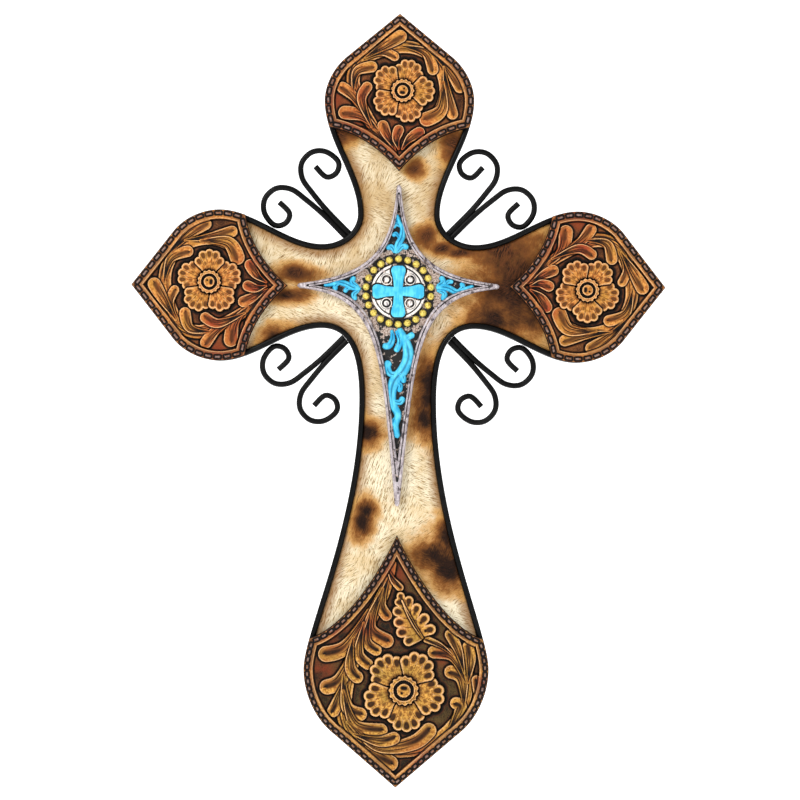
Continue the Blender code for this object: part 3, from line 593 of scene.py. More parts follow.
wire_path = through(WIRE_PATH, WIRE_STEPS)
block = outline_block()
for vertical, up in (("top", 1), ("bottom", -1)):
    for side, across in (("left", -1), ("right", 1)):
        corner = np.array([across, up])
        twin = wire_object(wire_path[:, ::-1] * corner, "twin")
        wire = wire_object(wire_path * corner, "wire")
        pair = added("pair", combined(wire, twin, "UNION"))
        bpy.data.objects.remove(twin)
        name = f"scrolls_{vertical}_{side}"
        bm = bmesh.new()
        bm.from_mesh(combined(pair, block, "DIFFERENCE"))
        bmesh.ops.dissolve_degenerate(bm, dist=SLIVER * MM, edges=bm.edges[:])
        mesh_piece(mesh_of(bm, name), "iron_" + name, name, [black_iron], 60.0)
bpy.data.objects.remove(block)

# %% [markdown]
# A tooled tip is one sheet of leather whose whole front is carved. That front is a fine grid, bent
# over the tip so that the grid's four corners fall on the tip's four: its apex, its two outer corners
# and its inner point. The carving then is a height at each grid point, worked out from how far the
# point lies from each stroke of the swivel knife.


# %% A grid bent over a tip
def tip_grid(arm, cells):
    """A flat grid mesh, each of its points' grid numbers, and their places on the arm."""
    bm = bmesh.new()
    bmesh.ops.create_grid(bm, x_segments=cells, y_segments=cells, size=0.5)
    mesh = mesh_of(bm, "leather")
    flat = np.empty(len(mesh.vertices) * 3)
    mesh.vertices.foreach_get("co", flat)
    numbers = np.rint((flat.reshape(-1, 3)[:, :2] + 0.5) * cells).astype(int)
    right = even(arm.leather_side[::-1], cells)
    inner = even(arm.inner_side, cells)
    left, inner_left = mirrored(right), mirrored(inner)
    u = np.linspace(0.0, 1.0, cells + 1)[:, None, None]
    v = np.linspace(0.0, 1.0, cells + 1)[None, :, None]
    corners = ((1 - u) * (1 - v) * right[0] + u * (1 - v) * right[-1]
               + (1 - u) * v * left[-1] + u * v * inner[-1])
    places = ((1 - v) * right[:, None] + v * inner_left[:, None]
              + (1 - u) * left[None, :] + u * inner[None, :] - corners)
    return mesh, numbers, places


def smooth_step(low, high, value):
    """0 at `low`, 1 at `high` and smooth between, also where `high` is the lower of the two."""
    share = np.clip((value - low) / (high - low), 0.0, 1.0)
    return share * share * (3 - 2 * share)


def ridge(value, at, width):
    """1 where the value is `at`, falling off smoothly over `width` on both sides."""
    return np.exp(-(((value - at) / width) ** 2))


def nearest(places, path, half):
    """How deep each place lies within a stroke, how far along it and how far across it.

    `half` is the stroke's half-width at each of the path's points. The share across is 1 at the
    stroke's left edge and -1 at its right."""
    start, step = path[:-1], np.diff(path, axis=0)
    span = (step**2).sum(axis=1)
    offset = places[:, None, :] - start[None]
    t = np.clip((offset * step).sum(axis=2) / span, 0.0, 1.0)
    gap = offset - t[..., None] * step
    far = np.sqrt((gap**2).sum(axis=2))
    width = half[:-1] + t * np.diff(half)
    within = width - far
    best = within.argmax(axis=1)
    pick = np.arange(len(places)), best
    side = np.sign(step[best, 0] * gap[pick][:, 1] - step[best, 1] * gap[pick][:, 0])
    return within[pick], (best + t[pick]) / len(step), side * far[pick] / np.maximum(width[pick], 0.1)


print("a smooth step is", smooth_step(0.0, 1.0, 0.25), "high after a quarter of its way")

# %% [markdown]
# Each stroke is painted over the ones before it, as a carver lays one leaf over another. Around its
# outline the ground is pressed down, and painted shadow darkens that line and the ground near it. Its
# edge is a raised bead, pale with wear and a painted highlight, its inside is hollowed towards its
# round end, and knife cuts run along it. Three masks are kept beside the height: how dark the
# antiquing and the painted shade are, how pale the wear and the painted highlight are, and how much
# of it is leaf.


# %% Carving
STROKE_STEPS = 48
KNIFE_CUTS = (
    (-0.66, 0.04, 0.75), (-0.34, 0.1, 0.9), (-0.04, 0.0, 0.6), (0.26, 0.16, 0.8), (0.56, 0.06, 1.0),
)
FLUTES = (-0.5, 0.1, 0.62)
PETAL_ORDER = (0, 2, 4, 1, 3)
PETAL_LOBES = ((-27.0, 0.84), (-13.5, 0.97), (0.0, 1.0), (13.5, 0.97), (27.0, 0.84))
LOBE_RADIUS = 0.138
PETAL_ROOT = 0.3
BUTTON_RADIUS = 0.165
BUTTON_DIMPLES = ((-2.2, 0.055), (-1.1, 0.05), (0.9, 0.035))


class Carving:
    """The carved front of a tip: height in millimetres over the field, and its masks."""

    def __init__(self, places, hollow_shade):
        # How dark the painted shade in hollowed ends and thumb prints is.
        self.hollow_shade = hollow_shade
        self.shape = places.shape[:2]
        self.places = places.reshape(-1, 2)
        size = len(self.places)
        self.height = np.zeros(size)
        self.dark = np.full(size, 0.3)
        self.pale = np.zeros(size)
        self.leaf = np.zeros(size)

    def near(self, path, reach):
        """The numbers of the grid points in the path's box, grown by `reach`."""
        low, high = path.min(axis=0) - reach, path.max(axis=0) + reach
        return np.flatnonzero(((self.places > low) & (self.places < high)).all(axis=1))

    def lay(self, spots, within, height, dark, pale, press=0.55, shadow=0.9, halo=2.6, parted=1.0):
        """Lays a shape over what is there: `within` is how deep inside it each spot lies.

        `parted` is how far it is cut free from what is under it: 0 where it grows out of that."""
        cover = smooth_step(-0.12, 0.22, within)
        outside = np.where(within < 0, ridge(within, 0.0, 1.0), 1.0) * (1 - cover) * parted
        # Painted shadow: a halo of ground round the shape, and the pressed line at its outline, are
        # darkened.
        wide = smooth_step(-halo, -0.35 * halo, within) * (1 - cover) * (1 - self.leaf[spots])
        self.dark[spots] = np.maximum(self.dark[spots], shadow * wide)
        self.height[spots] -= press * outside
        self.dark[spots] = np.maximum(self.dark[spots], shadow * outside)
        self.pale[spots] *= 1 - outside
        self.cover(spots, cover, height, dark, pale)

    def cover(self, spots, share, height, dark, pale):
        """Gives these spots a new height and new masks, by a share that fades out at the edge."""
        for mask, value in ((self.height, height), (self.dark, dark), (self.pale, pale), (self.leaf, 1.0)):
            mask[spots] = mask[spots] * (1 - share) + value * share

    def leaf_stroke(self, points, width, rise, stem=False):
        """A stem, or a leaf like a long drop: cuts and flutes run along it to its hollowed end."""
        path = through(points, STROKE_STEPS)
        length = length_of(path)
        run = np.linspace(0.0, 1.0, STROKE_STEPS + 1)
        first, last = path[8] - path[0], path[-1] - path[-9]
        bend = 1.0 if first[0] * last[1] > first[1] * last[0] else -1.0
        if stem:
            half = width / 2 * (0.55 + 0.45 * np.sin(math.pi * np.clip(run * 1.15, 0, 1)) ** 0.7)
        else:
            path = path[run <= 1 - width / 2 / length]
            run = np.linspace(0.0, 1.0, len(path))
            half = width / 2 * (0.2 + 0.8 * smooth_step(-0.35, 0.94, run) ** 1.5)
        spots = self.near(path, width / 2 + 3.0)
        within, along, across = nearest(self.places[spots], path, half)
        full = smooth_step(0.0, 1.3, within)
        inner = across * bend
        bead = ridge(within, 0.38, 0.24)
        hollow = np.zeros_like(within) if stem else (
            smooth_step(0.5, 0.88, along) * smooth_step(0.6, 0.1, np.abs(inner - 0.12)))
        reach = np.interp(along, run, half)
        cuts = sum(ridge((inner - at) * reach, 0.0, 0.25) * smooth_step(start, start + 0.1, along)
                   * smooth_step(stop, stop - 0.3, along) * smooth_step(0.3, 0.9, within)
                   for at, start, stop in KNIFE_CUTS)
        flutes = sum(ridge((inner - at) * reach, 0.0, 0.62) * smooth_step(0.95, 0.55, along)
                     for at in FLUTES) * smooth_step(0.4, 1.0, within)
        height = rise * (0.45 + 0.55 * full) + 0.25 * bead - 0.6 * hollow - 0.36 * cuts - 0.15 * flutes
        # Painted shade darkens the hollowed end, the flutes and the inner side, and antiquing darkens the
        # knife cuts; the pale bead is wear with a painted highlight, stronger along parts of each side.
        dark = 0.06 + self.hollow_shade * hollow + 0.7 * cuts + 0.3 * flutes + 0.3 * smooth_step(0.2, 0.9, inner)
        rim_share = np.where(inner < 0, smooth_step(0.0, 0.35, along), smooth_step(0.45, 0.8, along))
        parted = 1.0 if stem else 0.25 + 0.75 * smooth_step(0.05, 0.3, along)
        self.lay(spots, within, height, dark, bead * (0.15 + 0.85 * rim_share), parted=parted)

    def lobes(self, roots, ends, radii, rise, root_share=0.5):
        """A petal or a lobed leaf: rounded lobes that grow together, each with a thumb print."""
        reach = max(radii) + 4.6
        spots = self.near(np.concatenate([roots, ends]), reach)
        fields = []
        for root, end, radius in zip(roots, ends, radii):
            path = even(np.array([root, end]), 8)
            half = np.linspace(radius * root_share, radius, 9)
            fields.append(nearest(self.places[spots], path, half))
        depth = np.array([field[0] for field in fields])
        order = np.sort(depth, axis=0)
        within = order[-1]
        best = depth.argmax(axis=0)
        pick = best, np.arange(len(spots))
        along = np.array([field[1] for field in fields])[pick]
        radius = np.array(radii)[best]
        away = self.places[spots] - np.array(ends)[best]
        lie = np.array(ends) - np.array(roots)
        lie = (lie / np.linalg.norm(lie, axis=1, keepdims=True))[best]
        ahead = (away * lie).sum(axis=1)
        aside = away[:, 0] * lie[:, 1] - away[:, 1] * lie[:, 0]
        to_end = np.hypot(np.where(ahead < 0, ahead * 0.55, ahead), aside)
        print_dip = smooth_step(0.72, 0.3, to_end / radius)
        outer = smooth_step(0.35, 0.85, along)
        valley = ridge(order[-1] - order[-2], 0.0, 0.34) * smooth_step(0.3, 0.9, within)
        bead = ridge(within, 0.40, 0.28)
        full = smooth_step(0.0, 1.2, within)
        height = rise * (0.5 + 0.5 * full) + 0.2 * bead - 0.5 * print_dip - 0.28 * valley
        # Painted shade darkens the thumb prints, the valleys between lobes and the roots, and antiquing
        # darkens the nicks; the pale bead and the collar round each print are painted highlights.
        dark = 0.04 + self.hollow_shade * print_dip + 0.75 * valley * (0.25 + 0.75 * outer)
        dark += 0.45 * smooth_step(0.35, 0.0, along)
        from_nick = np.hypot((along - 0.5) * 3.2, np.abs(aside) / radius * 1.3)
        nick = smooth_step(0.6, 0.2, from_nick) * (best % 2)
        dark += 0.4 * nick
        height -= 0.25 * nick
        collar = ridge(to_end / radius, 0.76, 0.12) * outer * smooth_step(0.5, 0.9, within)
        self.lay(spots, within, height, dark, np.maximum(bead, 0.6 * collar), 0.8, 1.0, 4.4)

    def flower(self, centre, radius, angle, rise):
        """Five petals of five lobes, a scalloped ring and a button."""
        lobe = radius * LOBE_RADIUS

        def around(reach, turn):
            return [centre[0] + reach * math.cos(turn), centre[1] + reach * math.sin(turn)]

        for petal in PETAL_ORDER:
            middle = math.radians(angle - 360 / len(PETAL_ORDER) * petal)
            roots, ends = [], []
            for degrees, share in PETAL_LOBES:
                delta = math.radians(degrees)
                roots.append(around(radius * PETAL_ROOT, middle + delta * 0.6))
                ends.append(around(radius * share - lobe, middle + delta))
            self.lobes(np.array(roots), np.array(ends), [lobe] * len(ends), rise)
        offset = self.places - np.array(centre)
        spots = np.flatnonzero((np.abs(offset) < radius * 0.62).all(axis=1))
        far = np.linalg.norm(offset[spots], axis=1)
        turn = np.arctan2(offset[spots][:, 1], offset[spots][:, 0])
        teeth = 0.5 + 0.5 * np.cos(15 * turn)
        ring_out = radius * (0.325 + 0.035 * teeth)
        ring_in = radius * 0.245
        # Painted shade: dark streaks in a fan round the ring, and a darker shaded ring next to it.
        streaks = (0.5 + 0.5 * np.cos(31 * turn + 1.3 * np.cos(5 * turn))) ** 3
        fan = smooth_step(radius * 0.62, radius * 0.42, far)
        self.dark[spots] = np.maximum(self.dark[spots], fan * 0.45 * streaks)
        shade_ring = smooth_step(radius * 0.52, radius * 0.36, far)
        self.dark[spots] = np.maximum(self.dark[spots], 0.6 * shade_ring)
        self.height[spots] -= 0.5 * shade_ring
        ring = np.minimum(ring_out - far, far - ring_in)
        bead = ridge(ring, 0.35, 0.3)
        # Painted shade in the valleys between the ring's teeth.
        ring_dark = 0.12 + 0.4 * (1 - teeth) * smooth_step(0.3, 0.9, ring)
        self.lay(spots, ring, rise + 0.55 + 0.35 * bead, ring_dark, bead * 0.9, 0.6, 1.0)
        button = radius * BUTTON_RADIUS - far
        # Painted shade: the well round the button and the button's dimples are darkened.
        well = smooth_step(ring_in + 0.1, ring_in - 0.3, far)
        self.height[spots] = self.height[spots] * (1 - well) + (rise - 0.9) * well
        self.dark[spots] = np.maximum(self.dark[spots] * (1 - well), well)
        dimples = np.zeros_like(far)
        for at, size in BUTTON_DIMPLES:
            spot = np.array([math.cos(at), math.sin(at)]) * radius * 0.075
            dimples += ridge(np.linalg.norm(offset[spots] - spot, axis=1), 0.0, radius * size)
        dimples = np.clip(dimples, 0.0, 1.0)
        crown = rise + 0.6 + 0.5 * smooth_step(0.0, 1.6, button) - 0.7 * dimples
        self.lay(spots, button, crown, 0.05 + 0.85 * dimples, ridge(button, 0.3, 0.25), 0.3, 1.0)

    def grid(self, values):
        return values.reshape(self.shape)


print("a flower has", len(PETAL_ORDER), "petals of", len(PETAL_LOBES), "lobes")

# %% [markdown]
# Round every tip runs the same border: a plain rounded edge, a row of stitches sunk in a band, a raised
# line and then the drop to the field with a dark cut at its foot. Distances from the outline and along
# it place them, one of the tip's four sides at a time.

# %% Border and stitches
BORDER = 6.0
SMALL_PITCH = 6.4
FOOT_PITCH = 5.0
STITCH_SHARE = 0.74
STITCH_HALF = 1.25
STITCH_AT = 2.35
STITCH_ROUND = 0.6
STITCH_MARGIN = 1.5
EDGE_ROUND = 1.1
RIM_OVER_FIELD = 1.6
FAR_AWAY = 99.0


def border(carving, arm, pitch_wanted):
    """Lays the rounded edge, the stitches and the raised line over the carving's own edge."""
    sides = [even(arm.leather_side[::-1], 90), even(arm.inner_side, 90)]
    sides += [mirrored(side) for side in sides]
    far = np.full(len(carving.places), FAR_AWAY)
    stitch = np.full(len(carving.places), FAR_AWAY)
    for side in sides:
        spots = carving.near(side, BORDER + 3.0)
        within, along, _ = nearest(carving.places[spots], side, np.zeros(len(side)))
        edge = -within
        length = length_of(side)
        sewn = length - 2 * STITCH_MARGIN
        pitch = sewn / max(1, round(sewn / pitch_wanted))
        run = along * length - STITCH_MARGIN
        long_way = np.abs((run / pitch) % 1.0 - 0.5) * pitch - pitch * STITCH_SHARE / 2
        short_way = np.abs(edge - STITCH_AT) - STITCH_HALF
        box = np.stack([long_way, short_way], axis=-1) + STITCH_ROUND
        outside = np.linalg.norm(np.maximum(box, 0.0), axis=1) + np.minimum(box.max(axis=1), 0.0)
        outside = np.where((run > 0) & (run < sewn), outside - STITCH_ROUND, FAR_AWAY)
        closer = edge < far[spots]
        stitch[spots] = np.where(closer, outside, stitch[spots])
        far[spots] = np.where(closer, edge, far[spots])
    rim = smooth_step(BORDER + 0.45, BORDER - 0.35, far)
    line = ridge(far, BORDER - 1.2, 0.55)
    band = smooth_step(0.8, 1.2, far) * smooth_step(4.0, 3.6, far)
    cord = smooth_step(-0.4, -0.85, stitch)
    cut = ridge(stitch, -0.05, 0.5)
    rounding = np.clip(far / EDGE_ROUND, 0, 1)
    height = RIM_OVER_FIELD - 0.05 - 0.9 * (1 - np.sqrt(rounding * (2 - rounding)))
    height += 0.25 * line - 0.22 * band + 0.42 * cord - 0.35 * cut
    # Painted shade darkens the sunk stitch band, the cuts round the stitches and the very edge are dark,
    # and the pale lines are painted highlights on the raised line and the rim's edges.
    dark = 0.22 + 0.25 * band + 1.3 * cut + 0.9 * smooth_step(0.7, 0.0, far)
    pale = 0.3 * line + 0.6 * ridge(far, BORDER - 0.45, 0.25) + 0.3 * ridge(far, 0.75, 0.22)
    foot = ridge(far, BORDER + 0.75, 0.55) * (1 - rim)
    carving.dark = np.maximum(carving.dark, foot)
    carving.height -= 0.35 * foot
    carving.pale *= 1 - foot
    carving.cover(slice(None), rim, height, dark, pale)
    carving.thread = cord * rim
    carving.rim = rim


print("stitches", round(STITCH_SHARE * SMALL_PITCH, 1), "mm long on the small tips")

# %% [markdown]
# The three small tips carry one design, turned with their arms: a stem that sets out from the inner
# point, swings up the left side and round the flower, with leaves on both its sides. The foot has a
# larger one of its own, with a lobed leaf. The strokes are the maker's drawing, in millimetres from
# the middle of the tip's widest place: across and towards the apex.

# %% The drawings
SMALL_STEMS = (
    (8.8, (-4, -33), (-13, -22), (-21, -10), (-27.5, 3), (-30, 15), (-25, 26), (-14, 32), (0, 35),
     (12, 33.5), (22, 27), (27, 17), (28, 5), (25, -5), (21, -9)),
)
SMALL_LEAVES = (
    (7.2, (-3, -31), (-8, -22), (-12, -12.5)),
    (7.0, (-0.5, -31), (-2, -24), (1, -15.5)),
    (7.4, (2, -31), (7, -24), (16.5, -18.5)),
    (5.2, (-6, -30), (-14, -24.5), (-26, -18.5)),
    (9.0, (-14, -19), (-25, -9.5), (-40, -7.5)),
    (7.6, (-23, -9), (-30, 3), (-40, 10.5)),
    (7.4, (-30, 6), (-27.5, 19), (-14, 22.5)),
    (7.0, (-18, -17), (-24.5, 1), (-18.5, 12)),
    (6.0, (-24, 26), (-11, 31.5), (-0.5, 27.0)),
    (7.4, (1, 35.5), (17, 31.0), (22.3, 16.5)),
    (8.6, (-22, 28), (-7, 37.5), (4.2, 43.8)),
    (7.6, (21, 31), (32, 20), (41, 5.5)),
    (7.4, (28.5, 22), (31, 4), (35.5, -12.5)),
    (9.6, (28, 12), (27, -6), (13, -13.5)),
)
FOOT_STEMS = (
    (10.5, (3, -68), (8, -50), (17, -32), (26, -12), (32, 8), (33.5, 26), (28, 41), (13, 50), (-6, 52),
     (-22, 48), (-36, 37), (-45, 21), (-47, 5), (-45.5, -13)),
)
FOOT_LEAVES = (
    (10.5, (18, -38), (33, -14), (51, -9)),
    (10.0, (26, -18), (36, 7), (49.5, 12.5)),
    (8.0, (33, 6), (38, 22), (42.5, 31)),
    (10.5, (31, 43), (15, 54.5), (-1.5, 63)),
    (7.4, (5, -60), (10, -42), (4, -32)),
    (9.4, (9, -52), (17, -27), (2, -16.5)),
    (7.2, (17, -36), (19, -18), (9.5, -10.5)),
    (7.4, (21, -30), (24, -10), (15, -1)),
    (8.0, (28, -20), (29.5, -1), (21.5, 8)),
    (9.0, (34, 4), (31, 25), (18, 30)),
    (9.0, (34, 14), (26, 36), (5, 39.5)),
    (10.0, (31, 34), (12, 50), (-12, 47), (-25, 35)),
    (8.2, (27, 42), (10, 46.5), (-3, 42.5)),
    (8.0, (-34, 40), (-42, 24), (-34.5, 21)),
    (8.8, (-44, 24), (-42, 5), (-31, 0.5)),
    (8.4, (-45, 8), (-36, -9), (-20, -11.5)),
    (8.2, (-46.5, 8), (-48, -6), (-46, -19.5)),
    (7.2, (-44, 2), (-40, -13), (-33, -26)),
    (4.4, (-38, -8), (-29, -15.5), (-17, -20.5)),
    (6.6, (-45, 30), (-52.5, 18), (-51.5, 3)),
    (5.0, (6, -66), (2.5, -58), (-4, -51)),
)
LOBED_LEAF = (
    ((-15, -22), (-8.0, -18.5), 3.5),
    ((-15, -24), (-22, -26.0), 3.6),
    ((-14, -25), (-3.4, -24.0), 3.6),
    ((-13, -27), (-18, -33.0), 3.6),
    ((-11, -30), (-1.6, -30.5), 3.6),
    ((-10, -32), (-13, -39.5), 3.4),
    ((-8, -35), (-0.8, -37.5), 3.4),
    ((-7, -38), (-8.0, -44.5), 3.1),
    ((-5, -41), (-1.5, -43.5), 2.8),
    ((-5, -42), (-2.6, -47.5), 2.6),
)
LOBED_LEAF_VEIN = ((-17, -20.5), (-12, -28), (-7, -37), (-3.5, -44.5))
LOBED_LEAF_ROOT = 0.95
VEIN_WIDTH = 2.2
SMALL_FLOWER = (21.0, 72.0, (2.0, 6.5))
FOOT_FLOWER = (27.0, 95.0, (-5.0, 13.5))
# How dark the painted shade is in hollowed leaf ends and thumb prints.
SMALL_HOLLOW_SHADE, FOOT_HOLLOW_SHADE = 0.5, 0.66
STEM_RISE, LEAF_RISE, LOBED_RISE, FLOWER_RISE = 1.25, 1.45, 1.6, 1.9


def carve(arm, places):
    """The whole design of a tip, laid stroke by stroke, and its border last."""
    small = arm.drawing is SMALL_DRAWING
    carving = Carving(places, SMALL_HOLLOW_SHADE if small else FOOT_HOLLOW_SHADE)
    stems, leaves = (SMALL_STEMS, SMALL_LEAVES) if small else (FOOT_STEMS, FOOT_LEAVES)
    size = arm.wide / arm.drawing[0]
    for width, *points in stems:
        carving.leaf_stroke(arm.on_tip(points), width * size, STEM_RISE, stem=True)
    for width, *points in leaves:
        carving.leaf_stroke(arm.on_tip(points), width * size, LEAF_RISE)
    if not small:
        roots, ends, radii = zip(*LOBED_LEAF)
        widths = [radius * size for radius in radii]
        carving.lobes(arm.on_tip(roots), arm.on_tip(ends), widths, LOBED_RISE, LOBED_LEAF_ROOT)
        carving.leaf_stroke(arm.on_tip(LOBED_LEAF_VEIN), VEIN_WIDTH * size, FLOWER_RISE, stem=True)
    radius, angle, middle = SMALL_FLOWER if small else FOOT_FLOWER
    carving.flower(arm.on_tip([middle])[0], radius * size, angle, FLOWER_RISE)
    border(carving, arm, SMALL_PITCH if small else FOOT_PITCH)
    return carving


print(len(SMALL_LEAVES), "leaves on a small tip and", len(FOOT_LEAVES), "on the foot")

# %% [markdown]
# Antiquing paste collects wherever the surface lies lower than what surrounds it, and wears off where
# it stands out. The darkening of hollows and crowded ground is also painted shade, and the paling of
# what stands out is also a painted highlight. Blurring the heights and taking the difference finds
# both, so the masks follow the carving itself and not only the drawing.


# %% Antiquing and painted shade
FINE_ROUNDS, BROAD_ROUNDS, CROWD_ROUNDS = 6, 40, 90


def blurred(values, rounds):
    """The grid of values, each averaged with its neighbours over and over."""
    for _ in range(rounds):
        padded = np.pad(values, 1, mode="edge")
        values = (padded[1:-1, 1:-1] * 2 + padded[:-2, 1:-1] + padded[2:, 1:-1] + padded[1:-1, :-2]
                  + padded[1:-1, 2:]) / 6
    return values


def antique(carving):
    """Painted shade and antiquing darken hollows and open ground; highlight and wear pale what stands out.
    """
    height = carving.grid(carving.height)
    fine = blurred(height, FINE_ROUNDS) - height
    broad = blurred(height, BROAD_ROUNDS) - height
    # Painted shade with antiquing: what lies lower than its surroundings is darkened.
    hollow = smooth_step(0.02, 0.22, fine) * 0.35 + smooth_step(0.1, 0.7, broad) * 0.3
    proud = smooth_step(0.03, 0.2, -fine)
    crowd = blurred(carving.grid(carving.leaf), CROWD_ROUNDS).ravel()
    # Painted shade with antiquing on the ground, darker the more the leaves crowd it.
    carving.dark += (1 - carving.leaf) * 0.6 * (smooth_step(0.35, 0.75, crowd) - 0.3)
    carving.dark = np.clip(carving.dark + hollow.ravel() - 0.15 * proud.ravel(), 0.0, 1.0)
    # Wear and painted highlight on what stands out.
    carving.pale = np.clip(carving.pale + 0.25 * proud.ravel() * (1 - carving.dark), 0.0, 1.0)


peak = np.eye(9)[4:5] * np.eye(9)[:, 4:5]
print("a blurred peak keeps", round(float(blurred(peak, FINE_ROUNDS).max()), 3), "of its height")

# %% [markdown]
# Tooled leather: tan on the leaves, mottled brown on the ground, near black in the cuts and where
# shade is painted, pale on the worn beads and where highlights are painted, and washed with red in
# places. The foot is dyed more golden. All of it is mixed from the masks and three sizes of noise,
# with a fine grain for bump.

# %% Tooled leather
SMALL_WASHES = ((-46, 2, 13), (-30, -18, 16), (-2, -26, 15), (-24, 3, 9), (14, -20, 9))
FOOT_WASHES = (
    (6, -26, 10), (40, -22, 11), (48, 2, 8), (-16, 62, 15), (3, -62, 10), (-56, 8, 6), (20, -28, 9),
    (-30, -9, 6),
)


def leather_finish(name, light, mid, olive, ground_low, ground_high):
    finish = Finish(name)
    dark, pale = finish.mask("dark"), finish.mask("pale")
    red, leaf, thread, rim = (finish.mask(part) for part in ("red", "leaf", "thread", "rim"))
    broad = finish.even_noise(0.011)
    fine = finish.even_noise(0.0016, detail=4.0, rough=0.6)
    speck = finish.even_noise(0.0006, detail=2.0)
    tan = finish.mix(finish.ease(fine, 0.36, 0.62), shade(mid), shade(light))
    tan = finish.mix(finish.ease(broad, 0.42, 0.7) * 0.6, tan, shade(olive))
    tan = finish.mix(red * finish.ease(fine * 0.5 + broad * 0.6, 0.3, 0.62), tan, shade("9A3A20"))
    tan = finish.mix(rim * finish.ease(fine * 0.4 + broad * 0.7, 0.4, 0.66) * 0.75, tan, shade("6A402C"))
    mottle = finish.ease(speck * 0.5 + broad * 0.6, 0.42, 0.68)
    ground = finish.mix(mottle, shade(ground_low), shade(ground_high))
    ground = finish.mix(red * finish.ease(broad, 0.35, 0.6) * 0.8, ground, shade("7E2A14"))
    skin = finish.mix(leaf, ground, tan)
    # Painted shade and antiquing: the dark mask turns the skin dark brown, then near black.
    skin = finish.mix(finish.ease(dark + (fine - 0.5) * 0.6, 0.12, 0.6) * 0.88, skin, shade("45210B"))
    skin = finish.mix(finish.ease(dark + (fine - 0.5) * 0.3, 0.5, 0.85), skin, shade("0A0503"))
    # Wear and painted highlight: the pale mask turns the skin pale tan.
    skin = finish.mix(finish.ease(pale + (fine - 0.5) * 0.4, 0.25, 0.9) * 0.85, skin, shade("EDBB84"))
    skin = finish.mix(thread * finish.ease(fine, 0.34, 0.66) * 0.85, skin, shade("94807A"))
    grain = finish.bump(speck, 0.00015, 0.6, finish.bump(fine, 0.0004, 0.6))
    gloss = 0.52 + (speck - 0.5) * 0.25 + dark * 0.1 - pale * 0.06
    return finish.set(Base_Color=skin, Roughness=gloss, Specular_IOR_Level=0.14, Normal=grain)


small_leather = leather_finish("tan_leather", "DC984C", "985420", "AC7C2E", "2E170B", "7C4C24")
foot_leather = leather_finish("golden_leather", "D8A04A", "8A5620", "8A702C", "17100A", "54401E")
print("two leathers of", len(small_leather.node_tree.nodes), "nodes each")

# %% [markdown]
# The carved grid becomes the front of the sheet. Its boundary is extruded back: to just in front of
# the edging where the leather lies over it, and down to the hide along the two inner edges. A last face
# closes the back.

# %% The four tips
TIP_BACK = EDGING_FRONT + GAP
FIELD_THICK = 1.4
TIP_FIELD = TIP_BACK + FIELD_THICK
SMALL_CELLS = 262
FOOT_CELLS = 300


def add_mask(mesh, name, values):
    layer = mesh.attributes.new(name, "FLOAT", "POINT")
    layer.data.foreach_set("value", values.astype(np.float32))


def leather_tip(name, arm, finish, cells, washes):
    """Bends the grid over the tip, carves it, extrudes its boundary back and closes the back."""
    mesh, numbers, places = tip_grid(arm, cells)
    carving = carve(arm, places)
    antique(carving)
    red = np.zeros(len(carving.places))
    for across, out, size in washes:
        spot = arm.on_tip([(across, out)])[0]
        red = np.maximum(red, ridge(np.linalg.norm(carving.places - spot, axis=1), 0.0, size))
    order = numbers[:, 0] * (cells + 1) + numbers[:, 1]
    flat = turned(carving.places, arm.turn)
    front = in_frame(flat[:, 0], TIP_FIELD + carving.height, flat[:, 1])[order]
    mesh.vertices.foreach_set("co", front.ravel())
    for mask_name, values in (("dark", carving.dark), ("pale", carving.pale), ("red", red),
                              ("leaf", carving.leaf), ("thread", carving.thread), ("rim", carving.rim)):
        add_mask(mesh, mask_name, values[order])
    on_hide = (numbers == cells).any(axis=1) & (numbers > 0).all(axis=1)
    bm = bmesh.new()
    bm.from_mesh(mesh)
    bm.verts.ensure_lookup_table()
    rim = [e for e in bm.edges if e.is_boundary]
    back_of = {v: HIDE_FRONT + GAP / 2 if on_hide[v.index] else TIP_BACK for e in rim for v in e.verts}
    made = bmesh.ops.extrude_edge_only(bm, edges=rim)["geom"]
    loop = [item for item in made if isinstance(item, bmesh.types.BMEdge)]
    for vert in (item for item in made if isinstance(item, bmesh.types.BMVert)):
        source = next(e.other_vert(vert) for e in vert.link_edges if e.other_vert(vert) in back_of)
        vert.co.y = -back_of[source] * MM
    bmesh.ops.edgeloop_fill(bm, edges=loop)
    bmesh.ops.recalc_face_normals(bm, faces=bm.faces[:])
    bm.to_mesh(mesh)
    bm.free()
    mesh_piece(mesh, "leather_" + name, name, [finish], 75.0)


for name, arm in ARMS.items():
    if name == "tip_foot":
        leather_tip(name, arm, foot_leather, FOOT_CELLS, FOOT_WASHES)
    else:
        leather_tip(name, arm, small_leather, SMALL_CELLS, SMALL_WASHES)

# %% [markdown]
# The hide is a short-haired skin pulled over a board. Its edge rolls down behind the iron strip, and
# its face is cut into small squares, whose corners carry a mask of how near the edge is.

